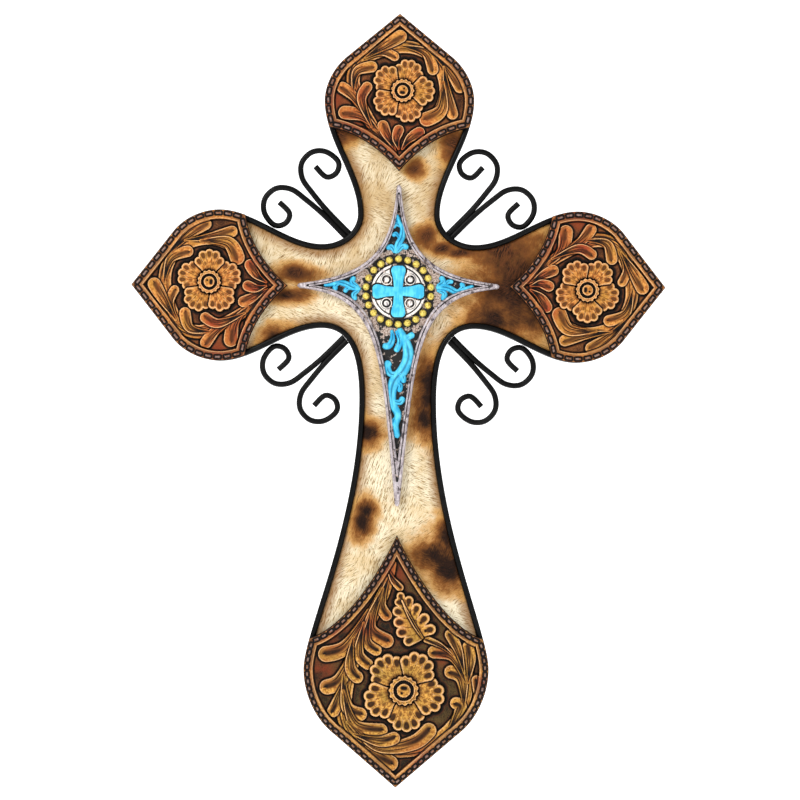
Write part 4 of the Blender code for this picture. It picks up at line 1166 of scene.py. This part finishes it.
# %% Hide panel
HIDE_STEP = 4.0
HIDE_ROLL = 1.6
PANEL_GAP = 0.02
BOARD_BACK = -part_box("hide_panel")[1].y / MM
panel = inset(cross_outline(2.5), EDGING_WIDTH + PANEL_GAP)
bm = bmesh.new()
first, last = ringed(bm, [(panel, BOARD_BACK), (panel, HIDE_FRONT - HIDE_ROLL),
                          (inset(panel, 0.35), HIDE_FRONT - 0.6), (inset(panel, 1.3), HIDE_FRONT - 0.1)])
bm.faces.new(first[0]).material_index = 1
bm.faces.new(last[0])
bmesh.ops.recalc_face_normals(bm, faces=bm.faces[:])
if bm.calc_volume(signed=True) < 0:
    bmesh.ops.reverse_faces(bm, faces=bm.faces[:])
for normal in (Vector((1.0, 0.0, 0.0)), Vector((0.0, 0.0, 1.0))):
    low, high = normal.dot(cad_low), normal.dot(cad_high)
    for step in range(1, int((high - low) / (HIDE_STEP * MM)) + 1):
        point = normal * (low + step * HIDE_STEP * MM)
        everything = bm.verts[:] + bm.edges[:] + bm.faces[:]
        bmesh.ops.bisect_plane(bm, geom=everything, plane_co=point, plane_no=normal)
mesh = mesh_of(bm, "hide")
hide_places = np.empty(len(mesh.vertices) * 3)
mesh.vertices.foreach_get("co", hide_places)
hide_places = hide_places.reshape(-1, 3)
drawn = np.stack([hide_places[:, 0] / MM, (hide_places[:, 2] - MIDDLE_UP) / MM], axis=-1)
CHUNKS = 24
rim_path = np.concatenate([panel, panel[:1]])
edge_far = np.concatenate([-nearest(chunk, rim_path, np.zeros(len(rim_path)))[0]
                           for chunk in np.array_split(drawn, CHUNKS)])
add_mask(mesh, "edge", edge_far)
print("hide panel cut into", len(mesh.polygons), "faces")

# %% [markdown]
# The hide's colour: cream hair with tan roots, and dark brown spots whose fringes turn orange. Each
# spot is a soft oval with a ragged edge. The hair is noise drawn out along the way that it lies, in
# three lies that take turns over the skin. Near the edging a painted shade darkens the hide to tan,
# where it rolls down.

# %% Hide finish
SPOTS = (
    (-40, 99, 11, 7), (36, 92, 8, 10), (10.5, 76, 5.5, 5), (18, 33, 7, 6.5), (29, 25, 7, 4), (40, 22, 9, 3),
    (-66, 8, 12, 5), (-71, -6, 12, 4.5), (-78, -34, 10, 7), (76, 0, 26, 32), (66, 24, 16, 10),
    (62, -20, 16, 13), (20, -66, 9, 20), (17, -86, 8, 11), (-21, -95, 9, 8), (-20, -146, 5.5, 8),
    (-22.5, -153, 6.5, 9), (32, -162, 8, 11), (24, -174, 12, 10), (35, -184, 10, 12),
)
HAIR_LIES = ((0.6, 0.0040, 0.00036), (-0.35, 0.0034, 0.00034), (1.25, 0.0038, 0.00038))
SPOT_REACH = 1.6
SPOT_MELT = 0.8
hide = Finish("spotted_hide")
place_x = hide.along("X")
place_z = hide.along("Z")
ragged = hide.even_noise(0.009, detail=5.0, rough=0.6) - 0.5
spot_mask = None
for across, up, wide, tall in SPOTS:
    right = (place_x - across * MM) / (wide * MM)
    above = (place_z - (MIDDLE_UP + up * MM)) / (tall * MM)
    far = hide.math("SQRT", right * right + above * above) + ragged * 1.5
    here = SPOT_REACH - far
    spot_mask = here if spot_mask is None else hide.math("SMOOTH_MAX", spot_mask, here, SPOT_MELT)
lies = []
for angle, along, across in HAIR_LIES:
    lies.append(hide.noise(hide.stretched((along, along, across), angle), detail=3.0, rough=0.6, twist=0.3))
turns = hide.even_noise(0.045, detail=1.0)
first_turn = hide.ease(turns, 0.44, 0.52)
second_turn = hide.ease(hide.even_noise(0.03, detail=1.0), 0.48, 0.55)
hair = lies[0] * (1 - first_turn) + lies[1] * first_turn
hair = hair * (1 - second_turn) + lies[2] * second_turn
near_edge = hide.mask("edge")
tide = hide.even_noise(0.02, detail=4.0)
cream = hide.mix(hide.ease(hair, 0.36, 0.54), shade("B08F58"), shade("F7EFD4"))
cream = hide.mix(hide.ease(tide, 0.44, 0.7) * 0.5, cream, shade("D6B274"))
upper = hide.ease(place_z, MIDDLE_UP - 50 * MM, MIDDLE_UP + 60 * MM)
veil = (upper * 0.6 + 0.4) * (0.4 + hide.ease(tide, 0.35, 0.6) * 0.3)
cream = hide.mix(veil, cream, shade("B28E58"))
# Painted shade: the hide darkens to tan near the edging, where it rolls down.
edge_shade = (1 - hide.ease(near_edge + (hair - 0.5) * 6.0 + (tide - 0.5) * 6.0, 0.5, 8.5)) * 0.85
cream = hide.mix(edge_shade, cream, shade("8C5F2E"))
spot = spot_mask + (hair - 0.5) * 1.2 + (tide - 0.5) * 0.8
coat = hide.mix(hide.ease(spot, -0.5, 0.25) * 0.9, cream, shade("C4924E"))
coat = hide.mix(hide.ease(spot, 0.0, 0.7), coat, shade("8A5424"))
core = hide.ease(spot, 0.3, 1.3)
deep = hide.mix(upper, shade("2A160C"), shade("6A3C1E"))
brown = hide.mix(hide.ease(hair, 0.4, 0.6), shade("100805"), deep)
coat = hide.mix(core, coat, brown)
strands = hide.ease(hair, 0.43, 0.36) * 0.7
coat = hide.mix(strands * (1 - core), coat, shade("4A331D"))
hide_skin = hide.set(Base_Color=coat, Roughness=0.62 + hair * 0.2, Specular_IOR_Level=0.12,
                     Normal=hide.bump(hair, 0.0006, 0.6))
print("hide finish with", len(SPOTS), "spots")

# %% [markdown]
# Seen from behind, the panel is a plain brown fibreboard, with short pressed fibres and a few darker
# stains. It takes the hide's place as a second material on the panel's back face.

# %% Backing board
board = Finish("fibreboard")
fibres = board.noise(board.stretched((0.003, 0.003, 0.0006), 0.4), detail=4.0)
stains = board.even_noise(0.03)
board_shade = board.mix(board.ease(fibres, 0.35, 0.65), shade("5A3F28"), shade("86684A"))
board_shade = board.mix(board.ease(stains, 0.5, 0.75) * 0.5, board_shade, shade("3E2A1A"))
board_skin = board.set(Base_Color=board_shade, Roughness=0.8 + fibres * 0.15, Specular_IOR_Level=0.2,
                       Normal=board.bump(fibres, 0.0003, 0.5))
mesh_piece(mesh, "spotted_hide", "hide_panel", [hide_skin, board_skin])

# %% [markdown]
# Four finishes make the cast star: brushed antique silver, blackened hollows with patches of bare
# metal, matt turquoise enamel and soft gold for the beads. The enamel is darker in its grooves, and
# painted shade darkens its lower flanks.

# %% Star finishes
RING_DROP = -3.6
WORN_RING = 26.2
silver = Finish("antique_silver")
brush = silver.noise(silver.stretched((0.0011, 0.0011, 0.0035)), detail=4.0, rough=0.65)
blot = silver.even_noise(0.004)
silver_shade = silver.mix(silver.ease(brush, 0.34, 0.66), shade("8B7F83"), shade("CFC6C9"))
grimy = silver.ease(blot + (brush - 0.5) * 0.9, 0.56, 0.68)
silver_shade = silver.mix(grimy, silver_shade, shade("4A3F42"))
polished = silver.mask("bright") * silver.ease(brush + blot, 0.7, 1.0)
silver_shade = silver.mix(polished, silver_shade, shade("F2ECE4"))
silver_skin = silver.set(Base_Color=silver_shade, Roughness=0.42 + brush * 0.22, Metallic=0.3,
                         Normal=silver.bump(brush, 0.0003, 0.6))

sunk = Finish("blackened_hollow")
bare = sunk.even_noise(0.0035)
speckle = sunk.even_noise(0.0009)
out_x = sunk.along("X")
out_z = sunk.along("Z") - (MIDDLE_UP + RING_DROP * MM)
out_far = sunk.math("SQRT", out_x * out_x + out_z * out_z)
beside_beads = 1 - sunk.ease(sunk.math("ABSOLUTE", out_far - WORN_RING * MM), 0.0012, 0.0036)
worn = sunk.ease(bare + (speckle - 0.5) * 0.2 + beside_beads * 0.16, 0.57, 0.64)
bare_metal = sunk.mix(sunk.ease(speckle, 0.4, 0.6), shade("7E6659"), shade("CBB9AD"))
sunk_shade = sunk.mix(worn, shade("0B0807"), bare_metal)
sunk_skin = sunk.set(Base_Color=sunk_shade, Roughness=0.55, Metallic=0.2,
                     Normal=sunk.bump(speckle, 0.0003, 0.5))

enamel = Finish("turquoise_enamel")
cloud = enamel.even_noise(0.005)
stroke = enamel.noise(enamel.stretched((0.0012, 0.0012, 0.006)), detail=2.0)
streaky = enamel.ease(cloud * 0.6 + stroke * 0.4, 0.4, 0.62)
enamel_shade = enamel.mix(streaky, shade("36AEDA"), shade("5FCFEF"))
# The cut mask darkens the grooves, and as painted shade it also darkens the strokes' lower flanks.
enamel_shade = enamel.mix(enamel.mask("cut") * 0.85, enamel_shade, shade("1C5F80"))
enamel_skin = enamel.set(Base_Color=enamel_shade, Roughness=0.45 + cloud * 0.15, Specular_IOR_Level=0.25,
                         Normal=enamel.bump(stroke, 0.0001, 0.4))

gold = Finish("gold_beads")
dust = gold.even_noise(0.0012)
gold_shade = gold.mix(gold.ease(dust, 0.35, 0.55), shade("A4862E"), shade("EDD668"))
gold_shade = gold.mix(gold.ease(dust, 0.58, 0.7) * 0.7, gold_shade, shade("5E4C1C"))
gold_skin = gold.set(Base_Color=gold_shade, Roughness=0.36 + dust * 0.2, Metallic=0.25,
                     Normal=gold.bump(dust, 0.0001, 0.3))
print("star finishes of", *(len(skin.nodes) for skin in (silver, sunk, enamel, gold)), "nodes")

# %% [markdown]
# The star's body is rings again: up its outer wall, over a softly domed rim, down to the sunk floor.
# The hollow has the same number of points as the outline, so the rim's width is even along its sides
# and grows solid towards the four points.

# %% Star body
STAR_UP, STAR_SIDE, STAR_DOWN = 65.3, 65.2, 142.2
STAR_TIP_HALF, HOLLOW_TIP_HALF = 1.5, 0.15
SOLID_UP, SOLID_SIDE, SOLID_DOWN = 9.5, 11.2, 30.0
STAR_PULL = 4.4
RIM_WIDTH = 3.9
STAR_BACK = HIDE_FRONT + GAP
STAR_FLOOR = STAR_BACK + 2.2
STAR_FRONT = STAR_BACK + 5.6


def star_outline(up, side, down, tip, rim):
    """Four points with hollow sides and rounded tips, the lowest one long, clockwise from the top."""
    bow = 0.4 * rim
    near = 0.55 * tip
    upper = cubic((tip, up - tip), (STAR_PULL - bow, STAR_UP * 0.39 - bow),
                  (STAR_SIDE * 0.245 - bow, STAR_UP * 0.11 - bow), (side - tip, tip), 80)
    lower = cubic((side - tip, -tip), (STAR_SIDE * 0.146 - bow, bow - STAR_DOWN * 0.046),
                  (STAR_SIDE * 0.176 - bow, bow - STAR_DOWN * 0.323), (tip, tip - down), 80)
    side_tip = [(side - 0.2 * tip, near), (side, 0.0), (side - 0.2 * tip, -near)]
    right = np.concatenate([[(near, up - 0.2 * tip)], even(upper, 40), side_tip, even(lower, 60),
                            [(near, 0.2 * tip - down)]])
    return np.concatenate([[(0.0, up)], right, [(0.0, -down)], mirrored(right)[::-1]])


outer = star_outline(STAR_UP, STAR_SIDE, STAR_DOWN, STAR_TIP_HALF, 0.0)
hollow = star_outline(STAR_UP - SOLID_UP, STAR_SIDE - SOLID_SIDE, STAR_DOWN - SOLID_DOWN,
                      HOLLOW_TIP_HALF, RIM_WIDTH)


def between(share):
    """The outline a share of the way from the star's edge to its hollow."""
    return outer * (1 - share) + hollow * share


SILVER, SUNK, ENAMEL, GOLD = range(4)
WALL_ROUND = 1.2
RIM_STEPS = (
    (0.10, 0.35), (0.26, 0.0), (0.52, 0.05), (0.58, 0.55, SUNK), (0.66, 0.55, SUNK), (0.72, 0.1),
    (0.9, 0.3), (1.0, 1.0),
)
star = bmesh.new()
groove_and_flank_shade = star.verts.layers.float.new("cut")
bright_mask = star.verts.layers.float.new("bright")
first, last = ringed(star, [
    (outer, STAR_BACK), (outer, STAR_FRONT - WALL_ROUND),
    *((between(share), STAR_FRONT - drop, *material) for share, drop, *material in RIM_STEPS),
    (inset(hollow, 0.05), STAR_FLOOR, SUNK),
])
star.faces.new(first[0])
star.faces.new(last[0]).material_index = SUNK
bmesh.ops.recalc_face_normals(star, faces=star.faces[:])
print("star body of", len(star.faces), "faces")

# %% [markdown]
# A scroll is a ball drawn out along a path: its poles go to the path's two ends, its belt swells to the
# stroke's width, and its far side flattens on the floor. That gives a closed, softly domed shape with a
# round end. Beads are plain balls, and the disc, its cross and its four eyes are raised step by step.


# %% Parts of the star
CROSS_ARM = 16.6


def bent_ball(bm, points, width, floor, rise, material, swollen=False):
    """A stroke from ball to leaf: widest near its end, or at a third of its way if `swollen`."""
    path = through(points, 80)
    run = np.linspace(0.0, 1.0, 81)
    cap = min(0.45, width * (0.3 if swollen else 0.5) / length_of(path))
    swell = 0.42 + 0.58 * np.sin(math.pi / 2 * np.clip(run / 0.8, 0, 1))
    if swollen:
        swell = np.interp(run, (0.0, 0.1, 0.25, 0.5, 0.75, 1.0), (0.5, 0.7, 1.0, 0.95, 0.66, 0.55))
    rounding = np.sqrt(np.clip(1 - (np.clip(run - (1 - cap), 0, 1) / cap) ** 2, 0, 1))
    rounding *= np.sqrt(np.clip(1 - (np.clip(cap / 2 - run, 0, 1) / (cap / 2)) ** 2, 0, 1))
    half = width / 2 * swell * rounding
    way = np.gradient(path, axis=0)
    way /= np.linalg.norm(way, axis=1, keepdims=True)
    rings = max(20, int(length_of(path) / 0.5))
    made = bmesh.ops.create_uvsphere(bm, u_segments=20, v_segments=rings, radius=1.0)["verts"]
    for vert in made:
        along = math.acos(max(-1.0, min(1.0, vert.co.z))) / math.pi
        belt = math.hypot(vert.co.x, vert.co.y) or 1.0
        side, top = vert.co.x / belt, vert.co.y / belt
        here = [np.interp(along, run, path[:, axis]) for axis in (0, 1)]
        ahead = [np.interp(along, run, way[:, axis]) for axis in (0, 1)]
        reach = float(np.interp(along, run, half)) * (belt > 1e-4)
        groove = float(top > 0.97) * float(np.interp(along, (0.08, 0.2, 0.6, 0.75), (0, 1, 1, 0)))
        lift = rise * min(1.0, reach / (width * 0.3)) * (max(top, -0.15) - 0.3 * groove)
        x, z = here[0] - ahead[1] * side * reach, here[1] + ahead[0] * side * reach
        vert.co = in_frame(x, floor + lift, z)
        # Darker along the groove on the stroke's top, and as painted shade down its lower flanks to the
        # floor.
        vert[groove_and_flank_shade] = max(groove, float(np.interp(top, (0.15, 0.5), (1.0, 0.0))))
    paint(made, material)
    bmesh.ops.recalc_face_normals(bm, faces=list({face for vert in made for face in vert.link_faces}))


def paint(verts, material):
    """Gives every face at these points the material."""
    for face in {face for vert in verts for face in vert.link_faces}:
        face.material_index = material


def stepped(bm, outline, base, steps, bright=0.0):
    """A flat shape raised in steps of (how far in, how high, material)."""
    verts, _ = vertex_ring(bm, outline, base)
    face = bm.faces.new(verts)
    face.normal_update()
    if face.normal.y > 0:
        face.normal_flip()
    under = bmesh.ops.extrude_face_region(bm, geom=[face])["geom"]
    top = next(item for item in under if isinstance(item, bmesh.types.BMFace))
    (_, first_rise, first_material), *later = steps
    bmesh.ops.translate(bm, verts=top.verts[:], vec=(0.0, -first_rise * MM, 0.0))
    paint(verts, first_material)
    for inward, rise, material in later:
        for vert in top.verts:
            vert[bright_mask] = bright
        ring = bmesh.ops.inset_region(bm, faces=[top], thickness=inward * MM, use_even_offset=True)["faces"]
        bmesh.ops.translate(bm, verts=top.verts[:], vec=(0.0, -rise * MM, 0.0))
        for item in ring:
            item.material_index = material
    top.material_index = steps[-1][2]
    for vert in top.verts:
        vert[bright_mask] = bright
    shell = {top}
    grow = [top]
    while grow:
        for edge in grow.pop().edges:
            for other in edge.link_faces:
                if other not in shell:
                    shell.add(other)
                    grow.append(other)
    bmesh.ops.recalc_face_normals(bm, faces=list(shell))


def cross_line(grown):
    """The little cross, whose arms widen to rounded ends, clockwise from the left of its top arm."""
    arm_line = [(-2.9, 2.9), (-3.3, 7.5), (-4.6, 12.8), (-4.6, 14.4), (-3.9, 15.8), (-2.6, CROSS_ARM),
                (2.6, CROSS_ARM), (3.9, 15.8), (4.6, 14.4), (4.6, 12.8), (3.3, 7.5)]
    whole = np.concatenate([turned(np.array(arm_line), quarter) for quarter in range(4)])
    return inset(whole + np.array([0.0, RING_DROP]), -grown)


def circle(x, z, radius, count):
    turn = np.linspace(0.0, math.tau, count, endpoint=False)
    return np.stack([x + radius * np.sin(turn), z + radius * np.cos(turn)], axis=-1)


print("the little cross is drawn with", len(cross_line(0.0)), "points")

# %% [markdown]
# The scrollwork is drawn as strokes, in millimetres from the middle of the cross. The ring of beads
# and the disc sit a little below that middle.

# %% Scrollwork, beads, disc and cross
STAR_STEMS = (
    (7.8, (0, -27.0), (5, -36), (6.9, -45.5), (3.6, -54), (-2, -61), (-4.0, -68), (-3.4, -76), (0.2, -83),
     (-1.4, -90), (0.2, -98.5)),
    (4.6, (-2, 20.8), (-0.8, 26), (2.0, 31.5), (2.6, 37.0), (0.2, 41.5), (-1.4, 46.5)),
    (4.4, (-24, -2), (-29, -1.2), (-34, 1.2), (-39, 2.4), (-43.5, 0.8), (-48.5, 0.2)),
    (4.4, (24, -1), (29.5, -0.5), (33.5, -1.6), (37.5, -3.6), (42, -2.2), (48.8, 0.6)),
)
STAR_STROKES = (
    (4.2, (1.0, 40.0), (-0.6, 43), (-1.3, 45.2)),
    (3.6, (1.6, 38.2), (-2.0, 40.2), (-4.0, 37.2)),
    (3.0, (0.8, 30.5), (-1.8, 33.8), (-4.2, 32.0)),
    (4.0, (-2.5, 21.2), (-4.5, 25.2), (-8.2, 24.4)),
    (4.0, (-1.2, 21.2), (2.4, 25.6), (6.4, 24.6)),
    (3.6, (-37, 2.2), (-40.6, 0.2), (-40.6, -3.4)),
    (3.2, (-29, -1.5), (-33, -1.8), (-34.8, -4.6)),
    (3.8, (-25, -1), (-29.8, 2.4), (-28.2, 6.2)),
    (3.8, (-25, -3), (-28.8, -5.5), (-27.4, -9.5)),
    (3.4, (29.5, -0.5), (32, 2.8), (35.6, 3.0)),
    (3.4, (37, -4), (41.6, -0.6), (40.2, 2.8)),
    (3.8, (24.5, 0), (28.9, 2.8), (27, 6.6)),
    (4.0, (24.5, -2.4), (29.8, -4.6), (28.6, -9.4)),
    (4.4, (-4.2, -28), (-3.6, -34), (-6.0, -38.6), (-10.2, -38.4)),
    (4.0, (-1.5, -28.5), (1.2, -36), (-1.8, -42.6)),
    (4.2, (1, -28.5), (4.6, -33.4), (10.6, -30.6)),
    (5.2, (1.5, -56), (-4.6, -56.8), (-7.0, -52.0), (-5.0, -48.4)),
    (3.8, (-0.5, -56.5), (3.4, -58), (3.6, -62.8)),
    (3.4, (-2, -61), (1.8, -64.2), (0.6, -68.6)),
    (4.4, (-3, -74), (1.4, -75), (4.0, -71.4)),
    (3.0, (0.4, -85), (-2.6, -86.5), (-3.2, -90.5)),
)
BEAD_RING = 21.1
BEAD_RADIUS = 2.3
BEAD_COUNT = 22
DISC_RADIUS, DISC_SIDES = 17.7, 72
EYE_AT, EYE_RADIUS, EYE_SIDES = 7.6, 3.9, 28
CROSS_HALO = 1.15
DISC_STEPS = (
    (0.0, 2.2, SUNK), (0.4, 0.5, SILVER), (1.1, 0.2, SILVER), (0.25, -0.5, SUNK), (0.6, 0.0, SUNK),
    (0.25, 0.5, SILVER),
)
EYE_STEPS = (
    (0.0, 3.25, SUNK), (0.35, 0.35, SUNK), (0.55, 0.1, SILVER), (0.15, -0.45, SUNK), (1.15, 0.0, SUNK),
    (0.15, 0.45, SILVER), (0.4, 0.2, SILVER),
)
HALO_STEPS = ((0.0, 2.96, SUNK),)
CROSS_STEPS = ((0.0, 3.7, SUNK), (0.35, 0.35, ENAMEL), (0.5, 0.15, ENAMEL))
STROKE_RISE, STEM_SWELL, BEAD_LIFT = 1.9, 2.7, 0.7

for number, (width, *points) in enumerate(STAR_STROKES):
    bent_ball(star, points, width, STAR_FLOOR, STROKE_RISE + 0.35 * (number % 3), ENAMEL)
for width, *points in STAR_STEMS:
    bent_ball(star, points, width, STAR_FLOOR, STEM_SWELL, ENAMEL, swollen=True)
for bead in range(BEAD_COUNT):
    turn = math.tau * bead / BEAD_COUNT
    made = bmesh.ops.create_uvsphere(star, u_segments=16, v_segments=10, radius=BEAD_RADIUS * MM)["verts"]
    across, up = BEAD_RING * math.sin(turn), BEAD_RING * math.cos(turn) + RING_DROP
    middle = in_frame(across, STAR_FLOOR + BEAD_LIFT, up)
    bmesh.ops.translate(star, verts=made, vec=middle)
    paint(made, GOLD)
stepped(star, circle(0, RING_DROP, DISC_RADIUS, DISC_SIDES), STAR_FLOOR, DISC_STEPS, bright=1.0)
stepped(star, cross_line(CROSS_HALO), STAR_FLOOR, HALO_STEPS)
stepped(star, cross_line(0.0), STAR_FLOOR, CROSS_STEPS)
for x in (-EYE_AT, EYE_AT):
    for z in (-EYE_AT, EYE_AT):
        eye = circle(x, RING_DROP + z, EYE_RADIUS, EYE_SIDES)
        stepped(star, eye, STAR_FLOOR, EYE_STEPS, bright=1.0)
star_skins = [silver_skin, sunk_skin, enamel_skin, gold_skin]
mesh_piece(mesh_of(star, "star"), "cast_star", "star", star_skins, 50.0)

# %% [markdown]
# The sawtooth hanger and its two nails are plain sheet steel and wire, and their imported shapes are
# right as they are. They only take a finish: bright steel with rolling lines and a few dull spots.

# %% Hanger steel
steel = Finish("hanger_steel")
rolled = steel.noise(steel.stretched((0.02, 0.0004, 0.0004)), detail=4.0)
dull = steel.even_noise(0.004)
steel_shade = steel.mix(steel.ease(dull, 0.5, 0.7), shade("B9B6AE"), shade("8C8579"))
steel_skin = steel.set(Base_Color=steel_shade, Roughness=0.25 + rolled * 0.3, Metallic=1.0,
                       Normal=steel.bump(rolled, 0.00008, 0.4))
for node_name in ("hanger", "hanger_nail_left", "hanger_nail_right"):
    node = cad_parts[node_name]
    node.data.materials.clear()
    node.data.materials.append(steel_skin)
print("hanger and nails finished in steel")

# %% [markdown]
# Last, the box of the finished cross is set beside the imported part's, because the looks may not change
# a size, and the frame is closed.

# %% Sizes and the end
low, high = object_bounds()
print("packed", [round(side / MM, 1) for side in cad_high - cad_low], "mm")
print("finished", [round(side / MM, 1) for side in high - low], "mm")
